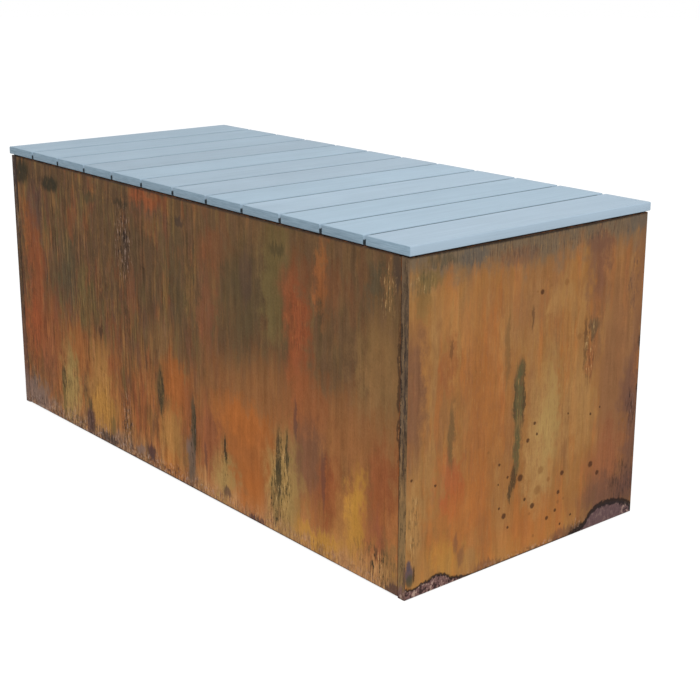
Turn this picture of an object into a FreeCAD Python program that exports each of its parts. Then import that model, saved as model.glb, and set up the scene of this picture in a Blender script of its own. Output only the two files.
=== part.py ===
import FreeCAD, Part
import math
import os
import re
import Sketcher
from FreeCAD import Placement, Rotation, Vector

# Bench with a sheet-steel trough and a slatted seat panel that lifts off it.
# Frame: millimetres, X along the length, front at -Y, Z up, origin on the ground at the middle.

doc = FreeCAD.newDocument("slatted_trough_bench")
sizes = doc.addObject("Spreadsheet::Sheet", "sizes")

# Driving dimensions: name, millimetres (or a count), what it is
DRIVING = (
    ("overall_length", 1000, "seat panel along X"),
    ("overall_depth", 440, "seat panel along Y, and the length of a slat"),
    ("seat_height", 450, "ground to the top of the slats"),
    ("slat_count", 12, "slats side by side"),
    ("slat_gap", 5, "gap between slats"),
    ("slat_thickness", 12, "slat, top to underside"),
    ("slat_edge_radius", 1.5, "rounding of a slat's long top edges"),
    ("slat_under_chamfer", 1, "chamfer of a slat's long lower edges"),
    ("seat_overhang", 2, "slats past the trough on every side"),
    ("rest_clearance", 0.3, "between the seat panel and what it rests on"),
    ("seat_clearance", 1.5, "between the seat panel's battens and the rim around them"),
    ("sheet_thickness", 2, "trough sheet"),
    ("bend_radius", 0.5, "inside radius of every fold"),
    ("corner_return", 15, "end panel's edge that shows on the long faces"),
    ("flange_width", 25, "returned edges of the long panels and flanges of the end panels"),
    ("ground_gap", 0.5, "long panels above the ground"),
    ("corner_bolts_each", 3, "bolts in one corner, at least two"),
    ("corner_bolt_inset", 60, "first and last bolt from the ends of the long panel's edge"),
    ("corner_bolt_setback", 14, "bolts from the long face"),
    ("bolt_diameter", 6, "corner bolt thread"),
    ("bolt_length", 12, "under the head"),
    ("bolt_hole_clearance", 0.3, "bolt to hole wall"),
    ("hexagon_width", 10, "bolt head and nut across flats"),
    ("bolt_head_thickness", 4, "bolt head"),
    ("nut_thickness", 5, "weld nut"),
    ("thread_clearance", 0.05, "bolt's shank to the nut's bore, both plain here"),
    ("tray_depth", 30, "base tray's turned-down edge"),
    ("tray_clearance", 1, "base tray to the panels around it"),
    ("drain_diameter", 12, "drain hole"),
    ("drain_row_spacing", 220, "two rows of drain holes, along Y"),
    ("stiffener_spacing", 240, "tray stiffeners, centre to centre"),
    ("stiffener_width", 40, "tray stiffener"),
    ("stiffener_clearance", 0.5, "stiffener to the tray's edges"),
    ("batten_depth", 25, "battens under the slats, top to underside"),
    ("side_batten_width", 30, "battens inside the front and rear rims"),
    ("middle_batten_width", 45, "batten over the cross tie"),
    ("screw_diameter", 4, "wood screw's shank"),
    ("screw_head_diameter", 8, "wood screw's countersunk head"),
    ("screw_bite", 8, "wood screw into the slat"),
    ("screw_recess", 0.5, "wood screw's head below the batten's underside"),
    ("strip_thickness", 2, "rubber strips on the rim"),
    ("strip_width", 10, "rubber strips on the rim"),
    ("strip_setback", 3.5, "rubber strips back from the faces"),
    ("strip_joint", 0.5, "gap where two strips meet"),
    ("tie_thickness", 3, "cross tie's section"),
    ("tie_width", 50, "cross tie along X"),
    ("tie_skirt", 18, "cross tie's turned-down edges"),
    ("tie_tab_width", 22, "cross tie's tabs under the rim"),
)
for row, (name, number, note) in enumerate(DRIVING, 1):
    sizes.set(f"A{row}", note)
    sizes.set(f"B{row}", str(number))
    sizes.setAlias(f"B{row}", name)
doc.recompute()
DRIVING_NAMES = {name for name, number, note in DRIVING}

# Millimetres within which an edge lies at a place, and the least volume that a cut takes away
AT_PLACE = 1e-4
LEAST_CUT = 1
# Flat sides of a bolt's or screw's shank
SHANK_SIDES = 8
HEXAGON_SIDES = 6
# Bays of the base tray between its stiffeners, in stiffener spacings from the middle
TRAY_BAYS = (-1.5, -0.5, 0.5, 1.5)

# Places and sizes worked out from the driving dimensions
WORKED_OUT = {
    "box_length": "overall_length - 2 * seat_overhang",
    "box_depth": "overall_depth - 2 * seat_overhang",
    "slat_width": "(overall_length - (slat_count - 1) * slat_gap) / slat_count",
    "slat_pitch": "slat_width + slat_gap",
    "slat_underside": "seat_height - slat_thickness",
    "strip_top": "slat_underside - rest_clearance",
    "box_top": "strip_top - strip_thickness",
    "rim_underside": "box_top - sheet_thickness",
    "outer_bend": "sheet_thickness + bend_radius",
    "long_panel_length": "box_length - 2 * corner_return",
    "wall_inside": "box_depth / 2 - sheet_thickness",
    "rim_inside": "box_depth / 2 - flange_width",
    "corner_bolt_span": "box_top - ground_gap - 2 * corner_bolt_inset",
    "tray_seat": "ground_gap + sheet_thickness",
    "tray_half_length": "box_length / 2 - sheet_thickness - tray_clearance",
    "tray_half_depth": "wall_inside - tray_clearance",
    "tray_notch_x": "long_panel_length / 2 - sheet_thickness - tray_clearance",
    "tray_notch_y": "rim_inside - tray_clearance",
    "batten_underside": "slat_underside - batten_depth",
    "batten_half_length": "long_panel_length / 2 - seat_clearance",
    "side_batten_outside": "rim_inside - seat_clearance",
    "side_batten_line": "side_batten_outside - side_batten_width / 2",
    "strip_outside": "box_depth / 2 - strip_setback",
    "end_strip_outside": "box_length / 2 - strip_setback",
    "tie_top": "batten_underside - rest_clearance",
    "tie_underside": "tie_top - tie_thickness",
    "tie_tab_end": "wall_inside - tie_tab_width",
}


def bound(text):
    """Write out a text of plain size names as an expression on the sizes sheet."""

    def written_out(match):
        word = match.group(0)
        if word in WORKED_OUT:
            return f"({bound(WORKED_OUT[word])})"
        return f"sizes.{word}" if word in DRIVING_NAMES else word

    return re.sub(r"[a-z][a-z_]*", written_out, text)


def value(text):
    """The number that a text of plain size names gives."""
    return float(sizes.evalExpression(bound(text)))


def new_body(label, x="0", y="0", z="0", turn=0):
    """A sub-part with its own label and a placement held by the sizes."""
    body = doc.addObject("PartDesign::Body", label)
    body.Label = label
    body.Placement = Placement(Vector(), Rotation(Vector(0, 0, 1), turn))
    for axis, text in zip("xyz", (x, y, z)):
        body.setExpression(f"Placement.Base.{axis}", bound(text))
    return body


def new_sketch(body, name, role, height="0"):
    """A sketch on one of the body's own planes, raised along that plane's normal."""
    sketch = body.newObject("Sketcher::SketchObject", name)
    plane = next(item for item in body.Origin.OriginFeatures if item.Role == role)
    sketch.AttachmentSupport = [(plane, "")]
    sketch.MapMode = "FlatFace"
    sketch.setExpression("AttachmentOffset.Base.z", bound(height))
    return sketch


def hold_point(sketch, geometry, point, across, up):
    """Hold one point at the named distances from the sketch's origin."""
    for kind, text in (("DistanceX", across), ("DistanceY", up)):
        index = sketch.addConstraint(Sketcher.Constraint(kind, -1, 1, geometry, point, value(text)))
        sketch.setExpression(f"Constraints[{index}]", bound(text))


def draw_outline(sketch, corners):
    """A closed outline of straight lines through the corners."""
    points = [Vector(value(across), value(up), 0) for across, up in corners]
    lines = [
        sketch.addGeometry(Part.LineSegment(start, end), False)
        for start, end in zip(points, points[1:] + points[:1])
    ]
    for line, following, corner in zip(lines, lines[1:] + lines[:1], corners):
        sketch.addConstraint(Sketcher.Constraint("Coincident", line, 2, following, 1))
        hold_point(sketch, line, 1, *corner)


def draw_rectangle(sketch, left, right, low, high):
    draw_outline(sketch, ((left, low), (right, low), (right, high), (left, high)))


def draw_circles(sketch, centres, diameter):
    """Circles of one diameter, each with its centre held."""
    for across, up in centres:
        centre = Vector(value(across), value(up), 0)
        circle = sketch.addGeometry(Part.Circle(centre, Vector(0, 0, 1), value(diameter) / 2), False)
        hold_point(sketch, circle, 3, across, up)
        index = sketch.addConstraint(Sketcher.Constraint("Diameter", circle, value(diameter)))
        sketch.setExpression(f"Constraints[{index}]", bound(diameter))


def pad(body, profile, length, symmetric=False, backwards=False):
    feature = body.newObject("PartDesign::Pad", f"{profile.Name}_pad")
    feature.Profile = profile
    feature.setExpression("Length", bound(length))
    feature.SideType = "Symmetric" if symmetric else "One side"
    feature.Reversed = backwards
    doc.recompute()


def require_cut(before, feature):
    """A cut that takes nothing away points the wrong way."""
    if before.Shape.Volume - feature.Shape.Volume < LEAST_CUT:
        raise RuntimeError(f"{feature.Name} cuts nothing")


def pocket(body, profile, length, symmetric=False, backwards=False):
    before = body.Tip
    feature = body.newObject("PartDesign::Pocket", f"{profile.Name}_pocket")
    feature.Profile = profile
    feature.setExpression("Length", bound(length))
    feature.SideType = "Symmetric" if symmetric else "One side"
    feature.Reversed = backwards
    doc.recompute()
    require_cut(before, feature)


def straight_edges(feature, along, **places):
    """Names of the straight edges along one axis that lie at the given places on other axes."""
    wanted = {axis: [value(text) for text in texts] for axis, texts in places.items()}
    found = []
    for number, edge in enumerate(feature.Shape.Edges, 1):
        if not isinstance(edge.Curve, Part.Line):
            continue
        heading = getattr(edge.tangentAt(edge.FirstParameter), along)
        middle = edge.CenterOfMass
        near = all(
            any(abs(getattr(middle, axis) - place) < AT_PLACE for place in values)
            for axis, values in wanted.items()
        )
        if abs(abs(heading) - 1) < AT_PLACE and near:
            found.append(f"Edge{number}")
    return found


def dress_edges(body, kind, size, *picks):
    """Fillet or chamfer the straight edges that the picks name, each pick an axis and places."""
    base = body.Tip
    names = [name for along, places in picks for name in straight_edges(base, along, **places)]
    feature = body.newObject(f"PartDesign::{kind}", f"{body.Name}_{kind.lower()}")
    feature.Base = (base, names)
    feature.setExpression("Radius" if kind == "Fillet" else "Size", bound(size))
    doc.recompute()


def corner_bolt_heights():
    """Heights of the bolts of one corner, evenly spaced between the two insets."""
    steps = int(value("corner_bolts_each")) - 1
    lowest = "ground_gap + corner_bolt_inset"
    return [f"{lowest} + corner_bolt_span * {step} / {steps}" for step in range(steps + 1)]


# End panels: folded pans whose flanges turn in to meet the long panels' edges
def end_panel(label, side):
    body = new_body(label, x=f"{side} * box_length / 2", turn=0 if side > 0 else 180)
    half = "box_depth / 2"
    block = new_sketch(body, f"{label}_block", "XY_Plane")
    draw_rectangle(block, "-corner_return", "0", f"-{half}", half)
    pad(body, block, "box_top")

    window = new_sketch(body, f"{label}_window", "YZ_Plane", "-corner_return")
    draw_rectangle(window, "-rim_inside", "rim_inside", "sheet_thickness", "rim_underside")
    pocket(body, window, "sheet_thickness", backwards=True)

    hollow = new_sketch(body, f"{label}_hollow", "YZ_Plane", "sheet_thickness - corner_return")
    draw_rectangle(hollow, "-wall_inside", "wall_inside", "sheet_thickness", "rim_underside")
    pocket(body, hollow, "corner_return - 2 * sheet_thickness", backwards=True)

    holes = new_sketch(body, f"{label}_holes", "YZ_Plane", "-corner_return")
    centres = [
        (f"{way} * ({half} - corner_bolt_setback)", height)
        for way in (-1, 1)
        for height in corner_bolt_heights()
    ]
    draw_circles(holes, centres, "bolt_diameter + 2 * bolt_hole_clearance")
    pocket(body, holes, "sheet_thickness", backwards=True)

    sides = [f"-{half}", half]
    inner_sides = ["-wall_inside", "wall_inside"]
    dress_edges(
        body, "Fillet", "bend_radius",
        ("z", {"x": ["-sheet_thickness", "sheet_thickness - corner_return"], "y": inner_sides}),
        ("y", {"x": ["-sheet_thickness"], "z": ["sheet_thickness", "rim_underside"]}),
    )
    dress_edges(
        body, "Fillet", "outer_bend",
        ("z", {"x": ["0", "-corner_return"], "y": sides}),
        ("y", {"x": ["0"], "z": ["0", "box_top"]}),
    )
    return body


# Long panels: folded pans with the rim, the foot and two bolted edges turned in
def long_panel(label, side):
    body = new_body(label, y=f"{side} * box_depth / 2", turn=0 if side < 0 else 180)
    half = "long_panel_length / 2"
    face = new_sketch(body, f"{label}_face", "XZ_Plane")
    draw_rectangle(face, f"-{half}", half, "ground_gap", "box_top")
    pad(body, face, "flange_width", backwards=True)

    hollow = new_sketch(body, f"{label}_hollow", "XZ_Plane", "-flange_width")
    inner_ends = [f"sheet_thickness - {half}", f"{half} - sheet_thickness"]
    draw_rectangle(hollow, *inner_ends, "tray_seat", "rim_underside")
    pocket(body, hollow, "flange_width - sheet_thickness", backwards=True)

    holes = new_sketch(body, f"{label}_holes", "YZ_Plane")
    draw_circles(
        holes,
        [("corner_bolt_setback", height) for height in corner_bolt_heights()],
        "bolt_diameter + 2 * bolt_hole_clearance",
    )
    pocket(body, holes, "long_panel_length", symmetric=True)

    dress_edges(
        body, "Fillet", "bend_radius",
        ("z", {"x": inner_ends, "y": ["sheet_thickness"]}),
        ("x", {"y": ["sheet_thickness"], "z": ["tray_seat", "rim_underside"]}),
    )
    dress_edges(
        body, "Fillet", "outer_bend",
        ("z", {"x": [f"-{half}", half], "y": ["0"]}),
        ("x", {"y": ["0"], "z": ["ground_gap", "box_top"]}),
    )
    return body


# Base tray: a raised floor with turned-down edges, notched round the bolted flanges
def tray_corners(inset):
    """The tray's outline, drawn in by an inset."""
    far_x, far_y = f"(tray_half_length - {inset})", f"(tray_half_depth - {inset})"
    near_x, near_y = f"(tray_notch_x - {inset})", f"(tray_notch_y - {inset})"
    quarter = ((far_x, near_y), (near_x, near_y), (near_x, far_y))
    turns = ((1, 1), (-1, 1), (-1, -1), (1, -1))
    corners = []
    for right, back in turns:
        points = quarter if right * back > 0 else quarter[::-1]
        corners += [(f"{right} * {across}", f"{back} * {up}") for across, up in points]
    return corners


def base_tray():
    body = new_body("base_tray", z="tray_seat")
    block = new_sketch(body, "tray_block", "XY_Plane")
    draw_outline(block, tray_corners("0"))
    pad(body, block, "tray_depth")
    hollow = new_sketch(body, "tray_hollow", "XY_Plane")
    draw_outline(hollow, tray_corners("sheet_thickness"))
    pocket(body, hollow, "tray_depth - sheet_thickness", backwards=True)
    drains = new_sketch(body, "tray_drains", "XY_Plane", "tray_depth")
    centres = [
        (f"stiffener_spacing * {bay}", f"{row} * drain_row_spacing / 2")
        for bay in TRAY_BAYS
        for row in (-1, 1)
    ]
    draw_circles(drains, centres, "drain_diameter")
    pocket(body, drains, "sheet_thickness")
    return body


# Tray stiffeners: channels under the tray that stand on the long panels' turned-in feet
def tray_stiffener(label, place):
    body = new_body(label, x=f"{place} * stiffener_spacing", z="tray_seat")
    outside, inside = "stiffener_width / 2", "(stiffener_width / 2 - sheet_thickness)"
    top, under = "tray_depth - sheet_thickness", "tray_depth - 2 * sheet_thickness"
    section = new_sketch(body, f"{label}_section", "XZ_Plane")
    draw_outline(section, (
        (f"-{outside}", "0"), (f"-{inside}", "0"), (f"-{inside}", under), (inside, under),
        (inside, "0"), (outside, "0"), (outside, top), (f"-{outside}", top),
    ))
    pad(body, section, "2 * (tray_half_depth - sheet_thickness - stiffener_clearance)", symmetric=True)
    dress_edges(body, "Fillet", "bend_radius", ("y", {"x": [f"-{inside}", inside], "z": [under]}))
    dress_edges(body, "Fillet", "outer_bend", ("y", {"x": [f"-{outside}", outside], "z": [top]}))
    return body


# Cross tie: a folded saddle, welded inside the long panels under the rim, that carries the middle batten
def cross_tie():
    body = new_body("cross_tie")
    inside = "(wall_inside - tie_thickness)"
    tab_under = "rim_underside - tie_thickness"
    right = (
        ("wall_inside", "tie_underside"), ("wall_inside", "rim_underside"), ("tie_tab_end", "rim_underside"),
        ("tie_tab_end", tab_under), (inside, tab_under), (inside, "tie_top"),
    )
    left = tuple((f"-{across}", up) for across, up in reversed(right))
    section = new_sketch(body, "tie_section", "YZ_Plane")
    draw_outline(section, right + left)
    pad(body, section, "tie_width", symmetric=True)

    skirts = new_sketch(body, "tie_skirts", "XY_Plane", "tie_underside")
    for side in (-1, 1):
        edges = sorted((f"{side} * tie_width / 2", f"{side} * (tie_width / 2 - tie_thickness)"), key=value)
        draw_rectangle(skirts, *edges, f"-{inside}", inside)
    pad(body, skirts, "tie_skirt", backwards=True)

    inner_folds = {"y": [f"-{inside}", inside], "z": ["tie_top", tab_under]}
    outer_folds = {"y": ["-wall_inside", "wall_inside"], "z": ["rim_underside"]}
    dress_edges(body, "Fillet", "bend_radius", ("x", inner_folds))
    dress_edges(body, "Fillet", "tie_thickness + bend_radius", ("x", outer_folds))
    return body


# Rim strips: rubber on the turned-in rim, under the slats
def rim_strip(label, left, right, low, high):
    body = new_body(label, z="box_top")
    outline = new_sketch(body, f"{label}_outline", "XY_Plane")
    draw_rectangle(outline, left, right, low, high)
    pad(body, outline, "strip_thickness")
    return body


def rim_strips():
    """Two strips along the long rims, and two between them on the end rims."""
    long_end = "end_strip_outside"
    inner = "(strip_outside - strip_width)"
    end_inner = "(end_strip_outside - strip_width)"
    end_reach = f"({inner} - strip_joint)"
    return [
        rim_strip("front_rim_strip", f"-{long_end}", long_end, "-strip_outside", f"-{inner}"),
        rim_strip("rear_rim_strip", f"-{long_end}", long_end, inner, "strip_outside"),
        rim_strip("left_rim_strip", "-end_strip_outside", f"-{end_inner}", f"-{end_reach}", end_reach),
        rim_strip("right_rim_strip", end_inner, "end_strip_outside", f"-{end_reach}", end_reach),
    ]


# Battens: under the slats, the outer two just inside the rim
def batten(label, line, width):
    body = new_body(label, y=line, z="batten_underside")
    outline = new_sketch(body, f"{label}_outline", "XY_Plane")
    draw_rectangle(outline, "-batten_half_length", "batten_half_length", f"-{width} / 2", f"{width} / 2")
    pad(body, outline, "batten_depth")
    return body


# Slats: boards across the depth, with rounded long edges
def slat(number):
    label = f"slat_{number:02d}"
    place = f"({number} - (slat_count + 1) / 2) * slat_pitch"
    body = new_body(label, x=place, z="slat_underside")
    half_width, half_length = "slat_width / 2", "overall_depth / 2"
    board = new_sketch(body, f"{label}_board", "XY_Plane")
    draw_rectangle(board, f"-{half_width}", half_width, f"-{half_length}", half_length)
    pad(body, board, "slat_thickness")
    long_edges = [f"-{half_width}", half_width]
    dress_edges(body, "Fillet", "slat_edge_radius", ("y", {"x": long_edges, "z": ["slat_thickness"]}))
    dress_edges(body, "Chamfer", "slat_under_chamfer", ("y", {"x": long_edges, "z": ["0"]}))
    return body


# Fasteners: one node for each kind, a group of separate solids
def copies(label, solid, placements):
    """A node of separate solids, one at each placement."""
    group = doc.addObject("Part::Feature", label)
    group.Label = label
    solids = []
    for placement in placements:
        one = solid.copy()
        one.Placement = placement.multiply(solid.Placement)
        solids.append(one)
    group.Shape = Part.makeCompound(solids)
    group.Placement = Placement()
    return group


def sides(count, diameter, height):
    """A flat-sided outline in a plane across Z, as wide over its corners as the diameter."""
    corner = Vector(diameter / 2, 0, height)
    about_z = [Rotation(Vector(0, 0, 1), 360 * turn / count) for turn in range(count)]
    corners = [turn.multVec(corner) for turn in about_z]
    return Part.makePolygon(corners + corners[:1])


def prism(count, diameter, start, thickness):
    """A flat-sided bar along Z."""
    return Part.Face(sides(count, diameter, start)).extrude(Vector(0, 0, thickness))


def wood_screw():
    """Its head's face at the origin and its shank along +Z."""
    head, shank = value("screw_head_diameter"), value("screw_diameter")
    head_depth = (head - shank) / 2
    taper = Part.makeLoft([sides(SHANK_SIDES, head, 0), sides(SHANK_SIDES, shank, head_depth)], True, True)
    length = value("batten_depth - screw_recess + screw_bite")
    return taper.fuse(prism(SHANK_SIDES, shank, head_depth, length - head_depth)).removeSplitter()


def corner_places(inward):
    """Placements at every corner bolt, Z pointing out of the trough, a distance inside the joint."""
    places = []
    for end in (-1, 1):
        for side in (-1, 1):
            for height in corner_bolt_heights():
                spot = Vector(
                    end * (value("long_panel_length / 2") - inward),
                    side * value("box_depth / 2 - corner_bolt_setback"),
                    value(height),
                )
                places.append(Placement(spot, Rotation(Vector(0, 1, 0), 90 * end)))
    return places


def corner_fasteners():
    """Bolts inside the trough, and nuts welded to the end panels' flanges."""
    sheet, head, nut = value("sheet_thickness"), value("bolt_head_thickness"), value("nut_thickness")
    shank = value("bolt_diameter")
    over_corners = value("hexagon_width") / math.cos(math.pi / HEXAGON_SIDES)
    bolt = prism(HEXAGON_SIDES, over_corners, 0, head).fuse(
        prism(SHANK_SIDES, shank, head, value("bolt_length"))
    )
    bore = prism(SHANK_SIDES, shank + 2 * value("thread_clearance"), 0, nut)
    ring = prism(HEXAGON_SIDES, over_corners, 0, nut).cut(bore)
    return [
        copies("corner_bolts", bolt.removeSplitter(), corner_places(sheet + head)),
        copies("corner_nuts", ring, corner_places(-sheet)),
    ]


def slat_screws():
    """Up through the battens into every slat."""
    screw = wood_screw()
    height = value("batten_underside + screw_recess")
    places = []
    for number in range(int(value("slat_count"))):
        across = value(f"({number} - (slat_count - 1) / 2) * slat_pitch")
        for line in ("-side_batten_line", "0", "side_batten_line"):
            places.append(Placement(Vector(across, value(line), height), Rotation()))
    return copies("slat_screws", screw, places)


pieces = [
    long_panel("front_panel", -1),
    long_panel("back_panel", 1),
    end_panel("left_end_panel", -1),
    end_panel("right_end_panel", 1),
    base_tray(),
    tray_stiffener("left_tray_stiffener", -1),
    tray_stiffener("middle_tray_stiffener", 0),
    tray_stiffener("right_tray_stiffener", 1),
    cross_tie(),
    *rim_strips(),
    batten("front_batten", "-side_batten_line", "side_batten_width"),
    batten("middle_batten", "0", "middle_batten_width"),
    batten("rear_batten", "side_batten_line", "side_batten_width"),
    *corner_fasteners(),
    slat_screws(),
]
pieces += [slat(number) for number in range(1, int(value("slat_count")) + 1)]
doc.recompute()

# Nothing is written unless every object and every piece is sound
for item in doc.Objects:
    if "Invalid" in item.State or "Error" in item.State:
        raise RuntimeError(f"{item.Name} failed: {item.State}")
for piece in pieces:
    if piece.Shape.isNull() or not piece.Shape.isValid():
        raise RuntimeError(f"{piece.Label} has no sound shape")

os.makedirs("parts", exist_ok=True)
for piece in pieces:
    piece.Shape.exportStep(os.path.join("parts", f"{piece.Label}.step"))
print(f"{len(pieces)} pieces, {sum(len(piece.Shape.Solids) for piece in pieces)} solids")
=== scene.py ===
import math
import random
from collections import namedtuple

import bmesh
import bpy
from mathutils import Matrix, Vector, noise


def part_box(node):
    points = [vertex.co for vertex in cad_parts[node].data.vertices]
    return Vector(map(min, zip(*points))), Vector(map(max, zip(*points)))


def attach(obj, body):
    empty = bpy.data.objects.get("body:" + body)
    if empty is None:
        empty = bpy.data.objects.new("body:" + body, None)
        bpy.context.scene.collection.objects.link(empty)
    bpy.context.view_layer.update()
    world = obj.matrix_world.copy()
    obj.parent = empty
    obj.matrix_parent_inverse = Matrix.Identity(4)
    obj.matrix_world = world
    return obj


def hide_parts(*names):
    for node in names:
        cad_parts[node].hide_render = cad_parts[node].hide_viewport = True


# Bench with a rusted steel trough under a seat panel of blue-grey boards.
# Metres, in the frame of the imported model: X along the bench, front at -Y, Z up, ground at 0.
# The marks of the patina are written in millimetres on the face that they lie on.

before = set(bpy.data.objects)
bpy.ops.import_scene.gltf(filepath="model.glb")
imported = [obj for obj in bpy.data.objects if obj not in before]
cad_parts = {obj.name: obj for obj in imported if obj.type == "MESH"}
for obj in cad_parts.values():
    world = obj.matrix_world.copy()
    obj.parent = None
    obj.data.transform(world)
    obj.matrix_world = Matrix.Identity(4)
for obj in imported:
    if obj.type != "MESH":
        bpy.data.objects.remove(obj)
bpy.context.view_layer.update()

MM = 0.001
TROUGH = "trough"
SEAT = "seat"

# The steel box in millimetres, and how deep under its faces the brushed patina gives way to plain rust
STEEL_LENGTH = 996
STEEL_DEPTH = 436
SKIN = 0.6


# Tones

def tone(red, green, blue):
    """A colour read as 0 to 255 a channel, as a shader takes it."""
    return tuple(((part / 255 + 0.055) / 1.055) ** 2.4 for part in (red, green, blue)) + (1,)


def grey(level):
    return (level, level, level, 1)


BROWN = tone(103, 77, 52)
UMBER = tone(88, 67, 47)
OLIVE_BROWN = tone(99, 77, 50)
DARK_OLIVE = tone(80, 70, 48)
OLIVE_GREEN = tone(106, 91, 55)
GREY_GREEN = tone(78, 72, 54)
GREEN_BLACK = tone(46, 44, 33)
CHARCOAL = tone(60, 50, 46)
SOOT = tone(32, 26, 25)
DARK_BROWN = tone(74, 52, 37)
MAUVE_BROWN = tone(110, 76, 60)
DARK_MAUVE = tone(80, 58, 56)
GREY_MAUVE = tone(130, 108, 98)
PALE_MAUVE = tone(182, 154, 138)
SLATE = tone(96, 88, 78)
RUST_RED = tone(142, 78, 46)
LOW_RUST = tone(164, 105, 59)
MAUVE_RED = tone(144, 85, 57)
BRIGHT_RED = tone(166, 82, 48)
ORANGE = tone(180, 105, 49)
DEEP_ORANGE = tone(162, 96, 48)
OCHRE = tone(172, 124, 68)
PALE_FOOT = tone(194, 142, 92)
YELLOW = tone(190, 138, 60)
YELLOW_GREEN = tone(168, 140, 84)
OLIVE_OCHRE = tone(142, 106, 64)
PALE_OCHRE = tone(206, 168, 114)
DRIP_GREEN = tone(82, 82, 54)
BAND_GREY = tone(108, 92, 73)
END_ORANGE = tone(153, 106, 59)
END_GOLD = tone(166, 126, 76)
END_BROWN = tone(136, 94, 62)
SPOT = tone(72, 44, 28)
FAINT_SPOT = tone(128, 86, 48)
TEAR_PURPLE = tone(86, 74, 80)
FLAT_STAIN = tone(104, 80, 80)
FLECKED_STAIN = tone(118, 88, 84)
STRIP_BROWN = tone(106, 86, 66)
STRIP_OCHRE = tone(136, 108, 72)


# Shader building

class Signal:
    """The output of a node. Arithmetic on it adds Math nodes."""

    def __init__(self, finish, socket):
        self.finish = finish
        self.socket = socket

    def __add__(self, other):
        return self.finish.maths("ADD", self, other)

    def __sub__(self, other):
        return self.finish.maths("SUBTRACT", self, other)

    def __rsub__(self, other):
        return self.finish.maths("SUBTRACT", other, self)

    def __mul__(self, other):
        return self.finish.maths("MULTIPLY", self, other)

    __radd__ = __add__
    __rmul__ = __mul__


class Finish:
    """Builds the node tree of a material or of the world."""

    def __init__(self, tree):
        self.tree = tree
        self.tree.nodes.clear()

    def node(self, kind, settings=None, inputs=None, output=0):
        """A node with its settings made first, then the values and links of its sockets."""
        made = self.tree.nodes.new(kind)
        for name, setting in (settings or {}).items():
            if name == "stops":
                self.set_stops(made.color_ramp, setting)
            else:
                setattr(made, name, setting)
        for name, given in (inputs or {}).items():
            if isinstance(given, Signal):
                self.tree.links.new(given.socket, made.inputs[name])
            else:
                made.inputs[name].default_value = given
        return Signal(self, made.outputs[output]) if made.outputs else None

    @staticmethod
    def set_stops(ramp, stops):
        while len(ramp.elements) < len(stops):
            ramp.elements.new(1)
        for element, (where, colour) in zip(ramp.elements, stops):
            element.position = where
            element.color = colour

    def maths(self, operation, first, second=0.0):
        return self.node("ShaderNodeMath", {"operation": operation}, {0: first, 1: second})

    def size_of(self, signal):
        return self.maths("ABSOLUTE", signal)

    def point(self, across, deep, high=0.0):
        return self.node("ShaderNodeCombineXYZ", inputs={0: across, 1: deep, 2: high})

    def axes(self, place):
        """The three parts of a place."""
        split = self.node("ShaderNodeSeparateXYZ", inputs={0: place}).socket.node
        return [Signal(self, socket) for socket in split.outputs]

    def moved(self, place, factors, shift=(0, 0, 0)):
        """A place with each axis multiplied and then shifted."""
        return self.node("ShaderNodeVectorMath", {"operation": "MULTIPLY_ADD"},
                         {0: place, 1: factors, 2: shift})

    def grain(self, place, wide, deep, high=None, seed=0, detail=2.0, roughness=0.5):
        """Noise in patches about so wide, deep and high, in the place's own unit.

        Without a height the noise is flat.
        """
        factors = (1 / wide, 1 / deep, 1 / high if high else 0)
        shifted = self.moved(place, factors, (seed * 7.31, seed * 3.17, 0))
        return self.node("ShaderNodeTexNoise", {"noise_dimensions": "3D" if high else "2D"},
                         {"Vector": shifted, "Scale": 1.0, "Detail": detail, "Roughness": roughness})

    def random_of(self, signal):
        """A number from 0 to 1, another one for each value of the signal."""
        return self.node("ShaderNodeTexWhiteNoise", {"noise_dimensions": "1D"}, {"W": signal}, output="Value")

    def ease(self, signal, start, end, low=0.0, high=1.0):
        """From low to high in a smooth step, as the signal goes from start to end."""
        return self.node("ShaderNodeMapRange", {"interpolation_type": "SMOOTHSTEP"},
                         {0: signal, 1: start, 2: end, 3: low, 4: high})

    def mix(self, share, first, second, blend="MIX", label=""):
        return self.node("ShaderNodeMix", {"data_type": "RGBA", "blend_type": blend, "label": label},
                         {0: share, 6: first, 7: second}, output=2)

    def shaded(self, colour, light):
        """A colour made lighter or darker by a signal about 1."""
        return self.mix(1.0, colour, light, "MULTIPLY")

    def bump(self, height, distance, strength):
        return self.node("ShaderNodeBump",
                         inputs={"Height": height, "Strength": strength, "Distance": distance})


class Material(Finish):
    """A surface material. Its place is in the part's own frame, in metres."""

    def __init__(self, name):
        self.material = bpy.data.materials.new(name)
        self.material.use_nodes = True
        super().__init__(self.material.node_tree)
        self.place = self.node("ShaderNodeTexCoord", output="Object")
        self.x, self.y, self.z = self.axes(self.place)

    def in_millimetres(self):
        """The place in millimetres."""
        return self.moved(self.place, (1 / MM, 1 / MM, 1 / MM))

    def finished(self, inputs):
        """Joins the shader to the output and hands over the material."""
        shader = self.node("ShaderNodeBsdfPrincipled", inputs=inputs)
        self.node("ShaderNodeOutputMaterial", inputs={0: shader})
        return self.material


# Patina of the steel

Mark = namedtuple("Mark", "label paint across up wide high share")
Score = namedtuple("Score", "label dark light across up wide high share")


def marked(*rows):
    """Marks of one paint: label, paint, middle across and up the face, half width, half height and share."""
    return [Mark(*row) for row in rows]


def scored(*rows):
    """Zones of dark and light hairlines: label, both paints and then as for the marks."""
    return [Score(*row) for row in rows]


def spotted(label, paint, size, share, places):
    """Round spots at places across and up the face, each with its radius."""
    return [
        Mark(label, paint, across, up, size * radius, size * radius, share)
        for across, up, radius in places
    ]


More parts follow.
